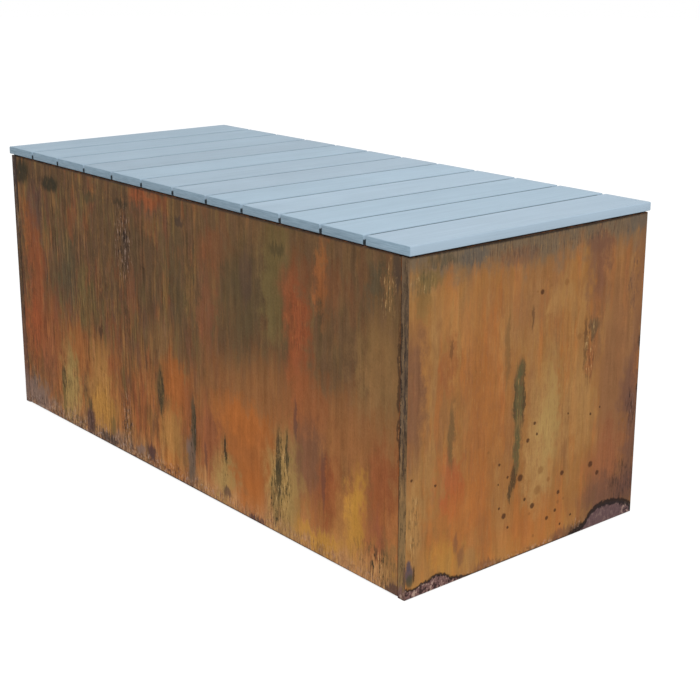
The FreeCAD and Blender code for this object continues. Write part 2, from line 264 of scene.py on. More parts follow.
FRONT_CLOUDS = marked(
    ("umber top left", UMBER, -400, 422, 120, 26, 0.6),
    ("umber by the red patch", UMBER, -160, 415, 54, 30, 0.7),
    ("rust under the red patch", MAUVE_BROWN, -80, 408, 54, 22, 0.5),
    ("red patch high", RUST_RED, -78, 424, 48, 22, 0.75),
    ("red in the patch", BRIGHT_RED, -94, 430, 22, 10, 0.25),
    ("olive high right", OLIVE_GREEN, 240, 400, 36, 46, 0.65),
    ("grey green right", GREY_GREEN, 440, 396, 18, 32, 0.6),
    ("orange left", DEEP_ORANGE, -456, 325, 13, 56, 0.45),
    ("mauve left", DARK_MAUVE, -418, 352, 28, 50, 0.5),
    ("slate green", GREY_GREEN, -324, 275, 38, 66, 0.6),
    ("dark middle left", UMBER, -200, 335, 54, 64, 0.5),
    ("green patch", OLIVE_GREEN, -262, 222, 22, 62, 0.6),
    ("umber by the scores", UMBER, -104, 330, 64, 84, 0.7),
    ("reddish by the scores", MAUVE_RED, -130, 262, 18, 56, 0.35),
    ("dark olive column", DARK_OLIVE, 0, 320, 26, 96, 0.5),
    ("olive ochre below it", OLIVE_OCHRE, -40, 215, 44, 44, 0.3),
    ("rust high middle", RUST_RED, 100, 372, 54, 28, 0.3),
    ("brown column", MAUVE_RED, 76, 275, 20, 80, 0.4),
    ("dark olive right", DARK_OLIVE, 168, 328, 66, 76, 0.55),
    ("green beside the column", OLIVE_GREEN, 234, 330, 24, 70, 0.7),
    ("red column", RUST_RED, 284, 295, 28, 100, 0.8),
    ("bright red in the column", BRIGHT_RED, 290, 310, 16, 60, 0.2),
    ("orange high right", ORANGE, 334, 384, 12, 60, 0.35),
    ("rust high right", RUST_RED, 340, 375, 50, 30, 0.25),
    ("ochre column right", OLIVE_OCHRE, 448, 285, 50, 80, 0.6),
    ("rust band right", LOW_RUST, 310, 195, 240, 54, 0.4),
    ("red under the column", RUST_RED, 300, 205, 54, 50, 0.4),
    ("rust left", RUST_RED, -432, 240, 32, 110, 0.75),
    ("rust low left", RUST_RED, -440, 140, 56, 70, 0.65),
    ("bright rust", BRIGHT_RED, -446, 160, 22, 42, 0.4),
    ("brown beside the rust", RUST_RED, -372, 150, 30, 70, 0.45),
    ("orange low left", DEEP_ORANGE, -300, 145, 40, 44, 0.4),
    ("ochre low left", OCHRE, -228, 88, 52, 76, 0.85),
    ("yellow in the ochre", YELLOW, -230, 60, 32, 44, 0.4),
    ("rust in the ochre", RUST_RED, -188, 128, 16, 56, 0.45),
    ("yellow green", YELLOW_GREEN, -330, 70, 30, 80, 0.8),
    ("mauve red low left", MAUVE_RED, -396, 92, 34, 52, 0.5),
    ("rust low middle", RUST_RED, -112, 96, 34, 60, 0.4),
    ("orange by the middle", DEEP_ORANGE, -12, 148, 40, 44, 0.85),
    ("ochre below the middle", OCHRE, -26, 62, 30, 60, 0.8),
    ("rust behind the long drip", RUST_RED, 30, 112, 34, 60, 0.4),
    ("rust under the drips", MAUVE_RED, 78, 92, 30, 66, 0.6),
    ("bright orange", ORANGE, 160, 140, 74, 36, 0.75),
    ("orange below it", DEEP_ORANGE, 178, 90, 70, 60, 0.7),
    ("orange red foot", ORANGE, 178, 36, 36, 44, 0.6),
    ("yellow round the short drip", YELLOW_GREEN, 112, 48, 30, 44, 0.7),
    ("ochre beside the pair", YELLOW_GREEN, 258, 74, 40, 84, 0.75),
    ("mauve red", MAUVE_BROWN, 306, 130, 42, 58, 0.65),
    ("red beside the yellow", RUST_RED, 350, 92, 26, 50, 0.7),
    ("yellow stroke", YELLOW, 402, 84, 20, 70, 0.9),
    ("ochre beside the stroke", OCHRE, 375, 55, 26, 50, 0.5),
    ("yellow foot", YELLOW, 330, 22, 56, 20, 0.8),
    ("rust right edge", RUST_RED, 455, 130, 28, 64, 0.7),
    ("pink low right", MAUVE_RED, 448, 68, 20, 28, 0.8),
    ("ochre corner", OLIVE_OCHRE, 470, 34, 24, 34, 0.7),
    ("mauve foot left", GREY_MAUVE, -455, 24, 52, 34, 0.85),
    ("grey foot", GREY_MAUVE, -200, 10, 64, 24, 0.4),
    ("umber over the mauve", UMBER, -425, 70, 26, 40, 0.35),
    ("orange foot", ORANGE, -22, 14, 34, 26, 0.45),
)
FRONT_DRIPS = marked(
    ("blot far left", GREEN_BLACK, -466, 412, 25, 22, 0.85),
    ("blot left", GREEN_BLACK, -370, 404, 30, 14, 0.85),
    ("olive fleck", DARK_OLIVE, -240, 400, 20, 9, 0.7),
    ("grey fleck", CHARCOAL, 12, 400, 12, 7, 0.6),
    ("dark head of the scored column", GREEN_BLACK, -146, 404, 22, 7, 0.55),
    ("dark in the scored column", CHARCOAL, -140, 332, 10, 34, 0.5),
    ("ochre under the stipple", OLIVE_OCHRE, 463, 390, 8, 26, 0.55),
    ("charcoal fleck", GREEN_BLACK, 242, 402, 18, 9, 0.4),
    ("mauve in the olive", DARK_MAUVE, 172, 352, 16, 40, 0.3),
    ("dark green drip", GREEN_BLACK, -353, 78, 7, 26, 0.55),
    ("olive foot of it", OLIVE_GREEN, -354, 36, 7, 26, 0.6),
    ("mauve drop", DARK_MAUVE, -268, 24, 15, 24, 0.85),
    ("olive head of the drop", DARK_OLIVE, -268, 53, 7, 10, 0.7),
    ("short dark drip", DARK_BROWN, -222, 188, 5, 12, 0.8),
    ("olive stub", OLIVE_GREEN, -196, 38, 9, 16, 0.65),
    ("dark smudge at the foot", CHARCOAL, -212, 10, 30, 8, 0.7),
    ("grey mauve smudge", GREY_MAUVE, -114, 22, 15, 8, 0.7),
    ("mauve round", DARK_MAUVE, -83, 25, 11, 13, 0.9),
    ("green drip", DARK_OLIVE, -51, 132, 9, 40, 0.8),
    ("long drip", GREY_GREEN, 36, 104, 7, 46, 0.8),
    ("dark side of the long drip", GREEN_BLACK, 39, 100, 3, 40, 0.6),
    ("foot of the long drip", SLATE, 28, 48, 11, 40, 0.75),
    ("mauve beside the long drip", GREY_MAUVE, 20, 64, 8, 14, 0.5),
    ("dark drip", GREEN_BLACK, 241, 104, 6, 56, 0.75),
    ("foot of the dark drip", DARK_OLIVE, 234, 50, 9, 40, 0.35),
    ("dark drip beside", GREEN_BLACK, 260, 126, 4, 30, 0.75),
    ("thin mauve drip", DARK_MAUVE, 66, 64, 4, 26, 0.5),
    ("short black drip", GREEN_BLACK, 115, 86, 4, 24, 0.85),
    ("purple smudge", DARK_MAUVE, 120, 23, 11, 9, 0.7),
    ("mauve thread", DARK_MAUVE, 338, 112, 5, 44, 0.45),
    ("mauve thread left", DARK_MAUVE, 279, 176, 4, 34, 0.55),
    ("mauve foot", DARK_MAUVE, 188, 5, 20, 6, 0.85),
    ("mauve corner", DARK_MAUVE, 478, 6, 22, 8, 0.8),
    ("seam shadow left", CHARCOAL, -483, 220, 2.5, 260, 0.6),
    ("seam shadow right", SOOT, 481.5, 262, 2, 96, 0.6),
    ("charcoal by the seam", CHARCOAL, 478, 418, 8, 26, 0.6),
)
FRONT_SCORES = scored(
    ("scored column", SOOT, PALE_MAUVE, -144, 345, 26, 66, 0.95),
    ("scored thread", DARK_BROWN, RUST_RED, -143, 240, 9, 90, 0.6),
    ("scored foot", CHARCOAL, PALE_MAUVE, -152, 56, 17, 54, 1.0),
    ("scored pair", GREEN_BLACK, PALE_OCHRE, 248, 84, 24, 74, 0.8),
    ("scored foot of the pair", GREEN_BLACK, PALE_OCHRE, 232, 40, 18, 44, 0.9),
    ("scored short drip", GREEN_BLACK, PALE_OCHRE, 114, 64, 11, 46, 0.6),
    ("scored long drip", GREEN_BLACK, GREY_MAUVE, 33, 80, 12, 62, 0.75),
    ("stippled ochre", DARK_OLIVE, PALE_OCHRE, 463, 392, 15, 40, 0.85),
    ("scored thread of the middle", DARK_OLIVE, OCHRE, 44, 310, 9, 80, 0.5),
    ("dark strokes", DARK_BROWN, OLIVE_OCHRE, -250, 275, 120, 110, 0.4),
    ("dark strokes left", DARK_BROWN, DEEP_ORANGE, -460, 200, 34, 180, 0.5),
    ("dark strokes low left", DARK_BROWN, OCHRE, -300, 80, 200, 60, 0.35),
    ("light strokes low right", DARK_OLIVE, YELLOW, 440, 34, 50, 34, 0.6),
    ("scored foot right", GREEN_BLACK, PALE_OCHRE, 448, 24, 20, 30, 0.9),
    ("light strokes in the red", DARK_BROWN, OCHRE, 284, 305, 22, 44, 0.4),
    ("scored foot left", CHARCOAL, PALE_MAUVE, -462, 50, 24, 44, 0.5),
    ("scored blots", SOOT, OLIVE_OCHRE, -420, 406, 80, 16, 0.4),
    ("scored top left", SOOT, OCHRE, -210, 410, 150, 16, 0.35),
    ("scored green drip", SOOT, OLIVE_OCHRE, -51, 132, 9, 40, 0.9),
    ("scored green drip left", SOOT, YELLOW_GREEN, -350, 74, 12, 40, 0.6),
    ("scored drop", SOOT, GREY_MAUVE, -268, 24, 16, 24, 0.6),
    ("scored yellow green", DARK_OLIVE, PALE_OCHRE, -322, 60, 26, 66, 0.35),
    ("flecks along the foot", CHARCOAL, PALE_MAUVE, -290, 4, 230, 30, 0.8),
    ("flecks along the right foot", DARK_MAUVE, PALE_OCHRE, 150, 0, 340, 20, 0.7),
)
# Painted shade: a dark line along the foot where the face meets the ground, and one along the top under the
# seat
FRONT_SHADE_LINES = marked(
    ("dark line at the foot", SOOT, 0, 1, 620, 3, 0.8),
    ("dark line at the top", CHARCOAL, 0, 436, 620, 4, 0.7),
)

END_CLOUDS = marked(
    ("grey band at the top", BAND_GREY, 0, 448, 700, 52, 0.95),
    ("brown left edge", MAUVE_BROWN, -208, 262, 24, 100, 0.7),
    ("brown right edge", MAUVE_BROWN, 208, 330, 20, 120, 0.5),
    ("gold high left", END_GOLD, -136, 345, 46, 50, 0.35),
    ("olive high left", OLIVE_GREEN, -190, 388, 22, 32, 0.5),
    ("deep orange left", DEEP_ORANGE, -88, 205, 46, 170, 0.5),
    ("red stroke", RUST_RED, -150, 290, 12, 50, 0.45),
    ("red patch", BRIGHT_RED, -148, 136, 20, 40, 0.65),
    ("orange below the patch", ORANGE, -125, 90, 50, 50, 0.4),
    ("gold middle", END_GOLD, 22, 150, 34, 110, 1.0),
    ("green in the gold", YELLOW_GREEN, 34, 180, 18, 90, 0.55),
    ("gold right", END_GOLD, 88, 200, 30, 76, 0.6),
    ("brown high middle", END_BROWN, -8, 345, 44, 60, 0.5),
    ("gold high", END_GOLD, 46, 345, 22, 34, 0.5),
    ("brown right", END_BROWN, 166, 215, 42, 190, 0.9),
    ("mauve high right", MAUVE_BROWN, 124, 374, 26, 52, 0.75),
    ("dark streaks right", MAUVE_BROWN, 116, 285, 14, 50, 0.4),
    ("dark right edge", MAUVE_BROWN, 208, 135, 22, 150, 0.9),
    ("rust low right", MAUVE_RED, 148, 100, 46, 56, 0.6),
    ("mauve low right", MAUVE_BROWN, 160, 34, 68, 46, 0.9),
    ("dark low right", DARK_MAUVE, 206, 36, 30, 34, 0.5),
    ("gold left foot", END_GOLD, -204, 92, 24, 60, 0.6),
    ("yellow low left", YELLOW, -152, 40, 24, 26, 0.4),
    ("orange low middle", ORANGE, 0, 36, 90, 40, 0.35),
)
END_DRIPS = marked(
    ("grey blot", SLATE, -112, 424, 28, 13, 0.75),
    ("grey green blot", GREY_GREEN, -164, 426, 26, 8, 0.5),
    ("olive under the blot", OLIVE_GREEN, -184, 404, 24, 12, 0.5),
    ("mauve top right", MAUVE_BROWN, 118, 408, 26, 14, 0.5),
    ("grey top right", SLATE, 196, 424, 26, 12, 0.5),
    ("brown smudge top", MAUVE_BROWN, -30, 412, 34, 12, 0.4),
    ("mauve by the far stain", MAUVE_BROWN, 74, 7, 30, 11, 0.6),
    ("mauve by the near stain", MAUVE_BROWN, -78, 6, 20, 9, 0.5),
    ("dark wedge by the far stain", CHARCOAL, 104, 7, 18, 8, 0.6),
    ("faint drip left", OLIVE_BROWN, -144, 200, 6, 50, 0.75),
    ("faint drip high", OLIVE_BROWN, -48, 290, 5, 50, 0.45),
    ("head of the drip", DARK_OLIVE, -22, 262, 8, 12, 0.7),
    ("main drip", DRIP_GREEN, -25, 218, 9.5, 54, 0.85),
    ("waist of the drip", OLIVE_OCHRE, -24, 176, 7, 24, 0.6),
    ("dark side of the drip", GREEN_BLACK, -16, 224, 3, 40, 0.7),
    ("dark left side of the drip", GREEN_BLACK, -32, 222, 2, 32, 0.5),
    ("foot of the drip", DRIP_GREEN, -26, 152, 7, 36, 0.8),
    ("tail of the drip", GREEN_BLACK, -31, 113, 5, 20, 0.8),
    ("tip of the tail", GREEN_BLACK, -37, 94, 3.5, 14, 0.8),
    ("slanted mauve", MAUVE_BROWN, -134, 54, 6, 15, 0.5),
    ("slanted mauve foot", MAUVE_BROWN, -124, 32, 6, 15, 0.5),
    ("grey green smudge", GREY_GREEN, 116, 294, 9, 13, 0.6),
    ("dark streak right", DARK_BROWN, 100, 275, 3.5, 34, 0.6),
    ("red streaks right", RUST_RED, 110, 245, 8, 30, 0.5),
    ("dark streak high", DARK_BROWN, -4, 325, 3, 18, 0.6),
    ("dark fleck high left", DARK_BROWN, -148, 312, 3.5, 12, 0.5),
    ("mauve fleck right", DARK_MAUVE, 202, 165, 7, 26, 0.3),
    ("soot fleck edge", SOOT, 217, 185, 4, 8, 0.8),
    ("soot fleck edge high", SOOT, 217, 255, 5, 10, 0.8),
)
END_SCORES = scored(
    ("scored left foot", DARK_OLIVE, PALE_OCHRE, -205, 95, 12, 60, 0.5),
    ("scored drip", GREEN_BLACK, OLIVE_OCHRE, -25, 200, 12, 76, 0.6),
    ("scored right", DARK_BROWN, PALE_OCHRE, 108, 262, 13, 52, 0.8),
    ("scored right edge", DARK_MAUVE, OCHRE, 195, 340, 14, 60, 0.5),
    ("scored high left", DARK_OLIVE, PALE_OCHRE, -196, 402, 26, 16, 0.5),
    ("scored fleck right", SOOT, GREY_MAUVE, 204, 160, 10, 30, 0.9),
    ("scored band", CHARCOAL, END_GOLD, 0, 424, 230, 18, 0.45),
    ("scored low right", SOOT, MAUVE_RED, 190, 60, 40, 40, 0.5),
    ("scored wedge", SOOT, PALE_MAUVE, 104, 10, 24, 14, 0.8),
    ("soft strokes", END_BROWN, END_GOLD, -40, 230, 190, 200, 0.35),
)
# Painted shade along the foot, along the top under the seat and at the far bend, then the purple teardrop
END_SHADE_AND_TEARDROP = marked(
    ("dark line at the foot", SOOT, 0, 0, 300, 3.5, 0.8),
    ("dark line at the top", SOOT, 0, 436, 300, 4, 0.8),
    ("dark far edge", SOOT, 218, 220, 2.8, 260, 0.75),
    ("teardrop", TEAR_PURPLE, -212, 34, 8.5, 14, 0.9),
    ("tip of the teardrop", TEAR_PURPLE, -213, 46, 4.5, 9, 0.9),
    ("foot of the teardrop", GREY_GREEN, -211, 25, 7.5, 11, 0.85),
    ("dark side of the teardrop", SOOT, -204, 32, 2, 14, 0.7),
)
END_SPOTS = spotted("spot", SPOT, 1.1, 0.85, (
    (12, 358, 3.5), (7, 182, 2.5), (-5, 161, 3), (12, 166, 2), (-57, 140, 2), (-58, 113, 1.5), (-41, 119, 2),
    (-17, 112, 5), (-55, 79, 2), (-46, 66, 4), (-7, 79, 2.5), (8, 66, 4), (-38, 48, 2), (65, 98, 3.5),
    (59, 72, 3), (54, 47, 2.5), (38, 40, 3), (123, 96, 4.5), (138, 80, 3.5), (118, 170, 2), (65, 24, 2),
    (86, 32, 2), (-210, 158, 2), (-170, 141, 2), (72, 181, 1.5), (137, 176, 1.5),
)) + spotted("faint spot", FAINT_SPOT, 1.2, 0.55, (
    (3, 360, 1.5), (3, 56, 2), (38, 96, 3), (59, 58, 2.5), (70, 60, 2), (12, 22, 2), (-78, 162, 2),
    (22, 113, 5), (17, 86, 6), (88, 285, 4), (188, 146, 3), (58, 364, 4),
))
# The stains at the foot of the end face: points across and up, the paint inside, the outline's half width
# and the share of the flecks at the stain's middle
FAR_STAIN = (
    ((84, 0), (102, 4), (116, 10), (128, 22), (142, 29), (160, 29), (180, 26), (198, 21), (210, 15),
     (219, 8)),
    FLAT_STAIN, 4.2, 0.16,
)
NEAR_STAIN = (
    ((-219, 14), (-204, 12), (-190, 15), (-178, 16), (-166, 20), (-152, 17), (-142, 9), (-122, 4), (-98, 0)),
    FLECKED_STAIN, 1.8, 0.8,
)

RIGHT_STRIP = marked(
    ("charcoal strip", CHARCOAL, 495, 330, 4, 70, 0.5),
    ("broken seam line", SOOT, 484.5, 250, 1.4, 120, 0.8),
    ("broken line beside", CHARCOAL, 492.5, 240, 2, 110, 0.6),
    ("olive ochre low", STRIP_OCHRE, 490, 50, 40, 100, 0.95),
    ("mauve teardrop", DARK_MAUVE, 499, 28, 6, 26, 0.7),
    ("mauve corner", FLECKED_STAIN, 488, 2, 20, 13, 0.9),
)
STRIP_SCORES = scored(
    ("scored strip", SOOT, END_GOLD, 490, 200, 30, 260, 0.55),
)
LEFT_STRIP = marked(
    ("charcoal top", CHARCOAL, 490, 410, 40, 60, 0.9),
    ("charcoal edge", CHARCOAL, 497, 230, 3.5, 240, 0.6),
    ("light line", GREY_MAUVE, 490, 340, 1.6, 110, 0.5),
    ("dark seam line", CHARCOAL, 484, 250, 1.6, 200, 0.6),
    ("mauve brown low", MAUVE_BROWN, 490, 90, 40, 60, 0.9),
    ("grey mauve foot", GREY_MAUVE, 490, 20, 40, 40, 0.8),
)

# How a face is painted apart from its own marks: its grounds above, low and at the foot, streaks all over it
# with their width, height and share, thin lines at its edges with painted shade among them, the depth of its
# strokes and how high dirt lies
Style = namedtuple("Style", "grounds drift lines depth dirt_high")
LONG_STYLE = Style(
    (BROWN, LOW_RUST, PALE_FOOT),
    ((RUST_RED, 24, 90, 0.4), (UMBER, 14, 110, 0.5), (OLIVE_GREEN, 20, 80, 0.45), (MAUVE_BROWN, 16, 50, 0.35),
     (OCHRE, 9, 90, 0.25), (DARK_BROWN, 4, 60, 0.42)),
    FRONT_SHADE_LINES, 0.85, 30,
)
END_STYLE = Style(
    (END_ORANGE, END_ORANGE, OCHRE),
    ((END_BROWN, 26, 150, 0.6), (END_GOLD, 32, 140, 0.6), (ORANGE, 20, 180, 0.5), (MAUVE_BROWN, 9, 40, 0.2)),
    END_SHADE_AND_TEARDROP, 0.5, 12,
)

# How lively the end faces are, how deep the strokes of the strips beside the seams go and how high dirt lies
# there, and the share of dirt at the very foot
END_LIVELY = 0.68
STRIP_DEPTH = 1.4
STRIP_DIRT_HIGH = 14
DIRT_SHARE = 0.8

# Higher than any stain, so that the ramp that holds a stain's outline stays within 1
STAIN_TOP = 50

# The shares of a mark's size at which its paint starts and is full, and how ragged its edge is
CLOUD_EDGE = (1.35, 0.35, 0.4)
DRIP_EDGE = (1.25, 0.6, 0.5)
SCORE_EDGE = (1.2, 0.5, 0.3)
STRIP_EDGE = (1.2, 0.5, 0.4)
LINE_EDGE = (1.1, 0.5, 0.0)
SPOT_EDGE = (1.2, 0.6, 0.0)


class Patina:
    """Rust colours laid over one face. across and up are places on that face in millimetres.

    depth is how far the strokes darken and lighten it. lively is the share of its fine strokes, its streaks
    and its dirt, and falls where the face is calm.
    """

    def __init__(self, finish, across, up, grounds, seed, depth, lively=1.0):
        self.finish = finish
        self.across = across
        self.up = up
        self.seed = seed
        self.depth = depth
        self.lively = lively
        flat = finish.point(across, up)
        haze = finish.grain(flat, 60, 90, seed=seed, detail=3.0)
        self.blot = finish.grain(flat, 15, 24, seed=seed + 1, detail=4.0, roughness=0.6)
        self.pits = finish.grain(flat, 2.2, 3.4, seed=seed + 2, detail=3.0, roughness=0.65)
        self.bent = finish.point(across + (self.blot - 0.5) * 5, up)
        self.hair = finish.grain(self.bent, 1.8, 55, seed=seed + 3)
        self.stroke = finish.grain(self.bent, 5, 100, seed=seed + 4)
        self.brush = finish.grain(self.bent, 15, 180, seed=seed + 5)
        self.scratch = finish.grain(self.bent, 2.2, 24, seed=seed + 6, detail=3.0, roughness=0.6)
        slanted = finish.point(across, up + across * 0.22)
        self.graze = finish.grain(slanted, 26, 1.5, seed=seed + 7, detail=3.0)
        patches = finish.grain(flat, 30, 60, seed=seed + 8, detail=3.0)
        self.busy = finish.ease(patches, 0.44, 0.62, 0.1, 1.0) * lively
        self.specks = finish.grain(flat, 6, 8, seed=seed + 9, detail=4.0, roughness=0.65)
        # Places bent by the noises: loosely for clouds, firmly for drips and crisply for lines and spots
        rough = (self.pits - 0.5) * 1.2 + (self.scratch - 0.5)
        self.loose = finish.point(
            across + (haze - 0.5) * 50 + (self.blot - 0.5) * 44 + (self.pits - 0.5) * 8,
            up + (haze - 0.5) * -40 + (self.stroke - 0.5) * (36 * depth) + (self.blot - 0.5) * 60,
            rough,
        )
        self.firm = finish.point(
            across + (haze - 0.5) * 8 + (self.blot - 0.5) * 12 + (self.pits - 0.5) * 4,
            up + (self.stroke - 0.5) * 26 + (self.blot - 0.5) * 10,
            rough,
        )
        self.crisp = finish.point(across + (self.pits - 0.5) * 2.4, up + (self.pits - 0.5) * -2.0)
        main, low, foot = grounds
        loose_up = finish.axes(self.loose)[1]
        self.colour = finish.mix(finish.ease(loose_up, 255, 70), main, low)
        self.cover(finish.ease(loose_up, 64, 4), foot)

    def cover(self, share, paint, label=""):
        """Lays a share of a paint over the colour so far."""
        self.colour = self.finish.mix(share, self.colour, paint, label=label)

    def within(self, place, mark, edge):
        """A mark's share at a place, from nothing outside its edge to all of it well inside."""
        outer, inner, ragged = edge
        factors = (1 / mark.wide, 1 / mark.high, ragged)
        shift = (-mark.across / mark.wide, -mark.up / mark.high, 0)
        reach = self.finish.node("ShaderNodeVectorMath", {"operation": "LENGTH"},
                                 {0: self.finish.moved(place, factors, shift)}, output="Value")
        return self.finish.ease(reach, outer, inner, 0.0, mark.share)

    def lay(self, place, marks, edge):
        for mark in marks:
            self.cover(self.within(place, mark, edge), mark.paint, mark.label)

    def drift(self, paints):
        """Streaks of other paints all over the face: each with its width, its height and its share."""
        for turn, (paint, wide, high, share) in enumerate(paints):
            patch = self.finish.grain(self.bent, wide, high, seed=self.seed + 11 + turn, detail=4.0,
                                      roughness=0.6)
            self.cover(self.finish.ease(patch, 0.5, 0.64, 0.0, share * self.lively), paint)

    def score(self, scores):
        """Broken dark and light hairlines within soft zones."""
        ease = self.finish.ease
        dark_line = ease(self.scratch, 0.5, 0.6) * ease(self.specks, 0.56, 0.46, 0.3, 1.0)
        light_line = ease(self.scratch, 0.42, 0.32) * ease(self.specks, 0.46, 0.56, 0.15, 1.0)
        for score in scores:
            zone = self.within(self.firm, score, SCORE_EDGE)
            self.cover(dark_line * zone, score.dark, score.label)
            self.cover(light_line * zone, score.light, score.label)

    def strokes(self):
        """Fine variation over the whole face: upright strokes in patches, blotches, grazes and grain."""
        fine = (self.hair - 0.5) * -0.85 + (self.stroke - 0.5) * 1.15 + (self.graze - 0.5) * 0.4
        broad = (self.brush - 0.5) * 0.5 + (self.blot - 0.5) * 0.55 + (self.pits - 0.5) * 0.35
        self.colour = self.finish.shaded(self.colour, 1 + (fine * self.busy + broad) * self.depth)

    def dirt(self, high):
        """Dark and pale specks that gather at the foot, up to so high."""
        ease = self.finish.ease
        zone = ease(self.up + (self.blot - 0.5) * high, high, 0.2 * high, 0.0, DIRT_SHARE * self.lively)
        self.cover(ease(self.specks, 0.51, 0.6) * zone, DARK_MAUVE)
        self.cover(ease(self.specks, 0.46, 0.36) * zone, PALE_MAUVE)

    def stain(self, outline, paint, line, flecks):
        """A flat stain at the foot with a dark outline, whose height along the face is a row of points.

        line is half the outline's width, and flecks is the share of dark and pale flecks at the middle.
        """
        finish = self.finish
        ease = finish.ease
        first, last = outline[0][0], outline[-1][0]
        stops = [((across - first) / (last - first), grey(up / STAIN_TOP)) for across, up in outline]
        along = (self.across - first) * (1 / (last - first))
        height = finish.node("ShaderNodeValToRGB", {"stops": stops}, {0: along}) * STAIN_TOP
        above = self.up + (self.specks - 0.5) * 9 + (self.blot - 0.5) * 5 - height
        from_middle = finish.size_of(along - 0.5)
        present = ease(from_middle, 0.53, 0.48)
        flecked = ease(from_middle, 0.26, 0.44, flecks, 0.9)
        inside = finish.mix(ease(self.specks, 0.52, 0.6) * flecked, paint, SOOT)
        inside = finish.mix(ease(self.specks, 0.46, 0.38) * flecked, inside, PALE_MAUVE)
        self.cover(ease(above, 1.0, -1.0) * present, inside)
        self.cover(ease(finish.size_of(above), line + 1.8, line - 1.2) * present * 0.88, SOOT)

    def height(self):
        """Relief for the bump, from 0 to 1."""
        return self.hair * 0.25 + self.stroke * 0.25 + self.pits * 0.5


def unseen_face_marks(seed, half_span):
    """Marks for the back or the left end, drawn from the paints of the faces in view."""
    draw = random.Random(seed)

    def drawn(label, paints, count, ups, wides, highs, shares):
        return [
            Mark(label, draw.choice(paints), draw.uniform(-half_span, half_span), draw.uniform(*ups),
                 draw.uniform(*wides), draw.uniform(*highs), draw.uniform(*shares))
            for _ in range(count)
        ]

    crowd = half_span / 220
    clouds = drawn("upper cloud", (OLIVE_BROWN, DARK_OLIVE, BROWN, MAUVE_BROWN), round(5 * crowd),
                   (260, 380), (40, 110), (60, 110), (0.5, 0.8))
    clouds += drawn("column", (RUST_RED, DARK_MAUVE, OLIVE_GREEN, OCHRE, BRIGHT_RED), round(5 * crowd),
                    (180, 360), (14, 34), (50, 110), (0.4, 0.7))
    clouds += drawn("lower cloud", (DEEP_ORANGE, RUST_RED, ORANGE, MAUVE_RED), round(5 * crowd),
                    (70, 170), (30, 90), (50, 90), (0.6, 0.9))
    clouds += drawn("foot stroke", (OCHRE, YELLOW, YELLOW_GREEN, MAUVE_RED, OCHRE), round(6 * crowd),
                    (20, 90), (16, 50), (30, 70), (0.6, 0.9))
    clouds += drawn("top patch", (OLIVE_BROWN, GREY_GREEN, BRIGHT_RED, BROWN), round(3 * crowd),
                    (415, 434), (30, 110), (12, 22), (0.5, 0.8))
    drips = drawn("drip", (GREEN_BLACK, GREY_GREEN, DARK_OLIVE, DARK_MAUVE), round(4 * crowd),
                  (50, 220), (4, 11), (24, 70), (0.5, 0.85))
    drips += drawn("foot smudge", (DARK_MAUVE, GREY_MAUVE, SLATE), round(3 * crowd),
                   (4, 30), (10, 26), (6, 20), (0.5, 0.8))
    drips += drawn("top blot", (GREEN_BLACK, CHARCOAL), round(1.5 * crowd),
                   (400, 420), (12, 30), (6, 22), (0.6, 0.9))
    scores = [
        Score("scored zone", DARK_BROWN, draw.choice((OCHRE, PALE_MAUVE, PALE_OCHRE)),
              draw.uniform(-half_span, half_span), draw.uniform(60, 340), draw.uniform(12, 40),
              draw.uniform(40, 90), draw.uniform(0.4, 0.8))
        for _ in range(round(3 * crowd))
    ]
    spots = [
        Mark("spot", SPOT, draw.gauss(0, 0.4 * half_span), draw.uniform(20, 190), radius, radius, 0.8)
        for radius in (draw.uniform(1.8, 4.5) for _ in range(round(6 * crowd)))
    ]
    return clouds, drips, scores, spots


def inner_rust(finish):
    """Plain brown rust on the faces that were never brushed: inside, on the flanges and on the feet."""
    place = finish.in_millimetres()
    patches = finish.grain(place, 60, 60, 80, detail=4.0, roughness=0.6)
    bloom = finish.grain(place, 9, 9, 14, seed=4, detail=4.0, roughness=0.65)
    runs = finish.grain(place, 12, 12, 220, seed=9)
    colour = finish.mix(finish.ease(patches, 0.38, 0.62), DARK_BROWN, MAUVE_BROWN)
    colour = finish.mix(finish.ease(bloom, 0.48, 0.66, 0.0, 0.75), colour, DEEP_ORANGE)
    colour = finish.mix(finish.ease(runs, 0.55, 0.68, 0.0, 0.6), colour, CHARCOAL)
    return colour


def rusted(finish, outer_share, outer_colour, relief):
    """The finished steel: the brushed patina outside and plain rust elsewhere."""
    speckle = finish.grain(finish.in_millimetres(), 1.4, 1.4, 1.8, detail=3.0)
    colour = finish.mix(outer_share, inner_rust(finish), outer_colour)
    height = relief + speckle * 0.35
    return finish.finished({
        "Base Color": colour,
        "Roughness": finish.ease(relief, 0.35, 0.65, 0.88, 0.7),
        "Specular IOR Level": 0.08,
        "Normal": finish.bump(height, 0.35 * MM, 0.7),
    })


def painted_face(finish, across, up, style, seed, marks, lively):
    """One brushed face, from broad clouds to thin lines. marks holds its clouds, drips, scores and spots."""
    clouds, drips, scores, spots = marks
    face = Patina(finish, across, up, style.grounds, seed, style.depth, lively)
    face.drift(style.drift)
    face.lay(face.loose, clouds, CLOUD_EDGE)
    face.strokes()
    face.dirt(style.dirt_high)
    face.lay(face.firm, drips, DRIP_EDGE)
    face.score(scores)
    # Thin lines, among them painted shade along the top under the seat and along the foot
    face.lay(face.crisp, style.lines, LINE_EDGE)
    face.lay(face.crisp, spots, SPOT_EDGE)
    return face


def outer_skin(finish, reach, span):
    """1 in the skin of a face that lies half a span from the middle, and 0 deeper in the sheet."""
    return finish.ease(reach, (span / 2 - 2 * SKIN) * MM, (span / 2 - SKIN) * MM)


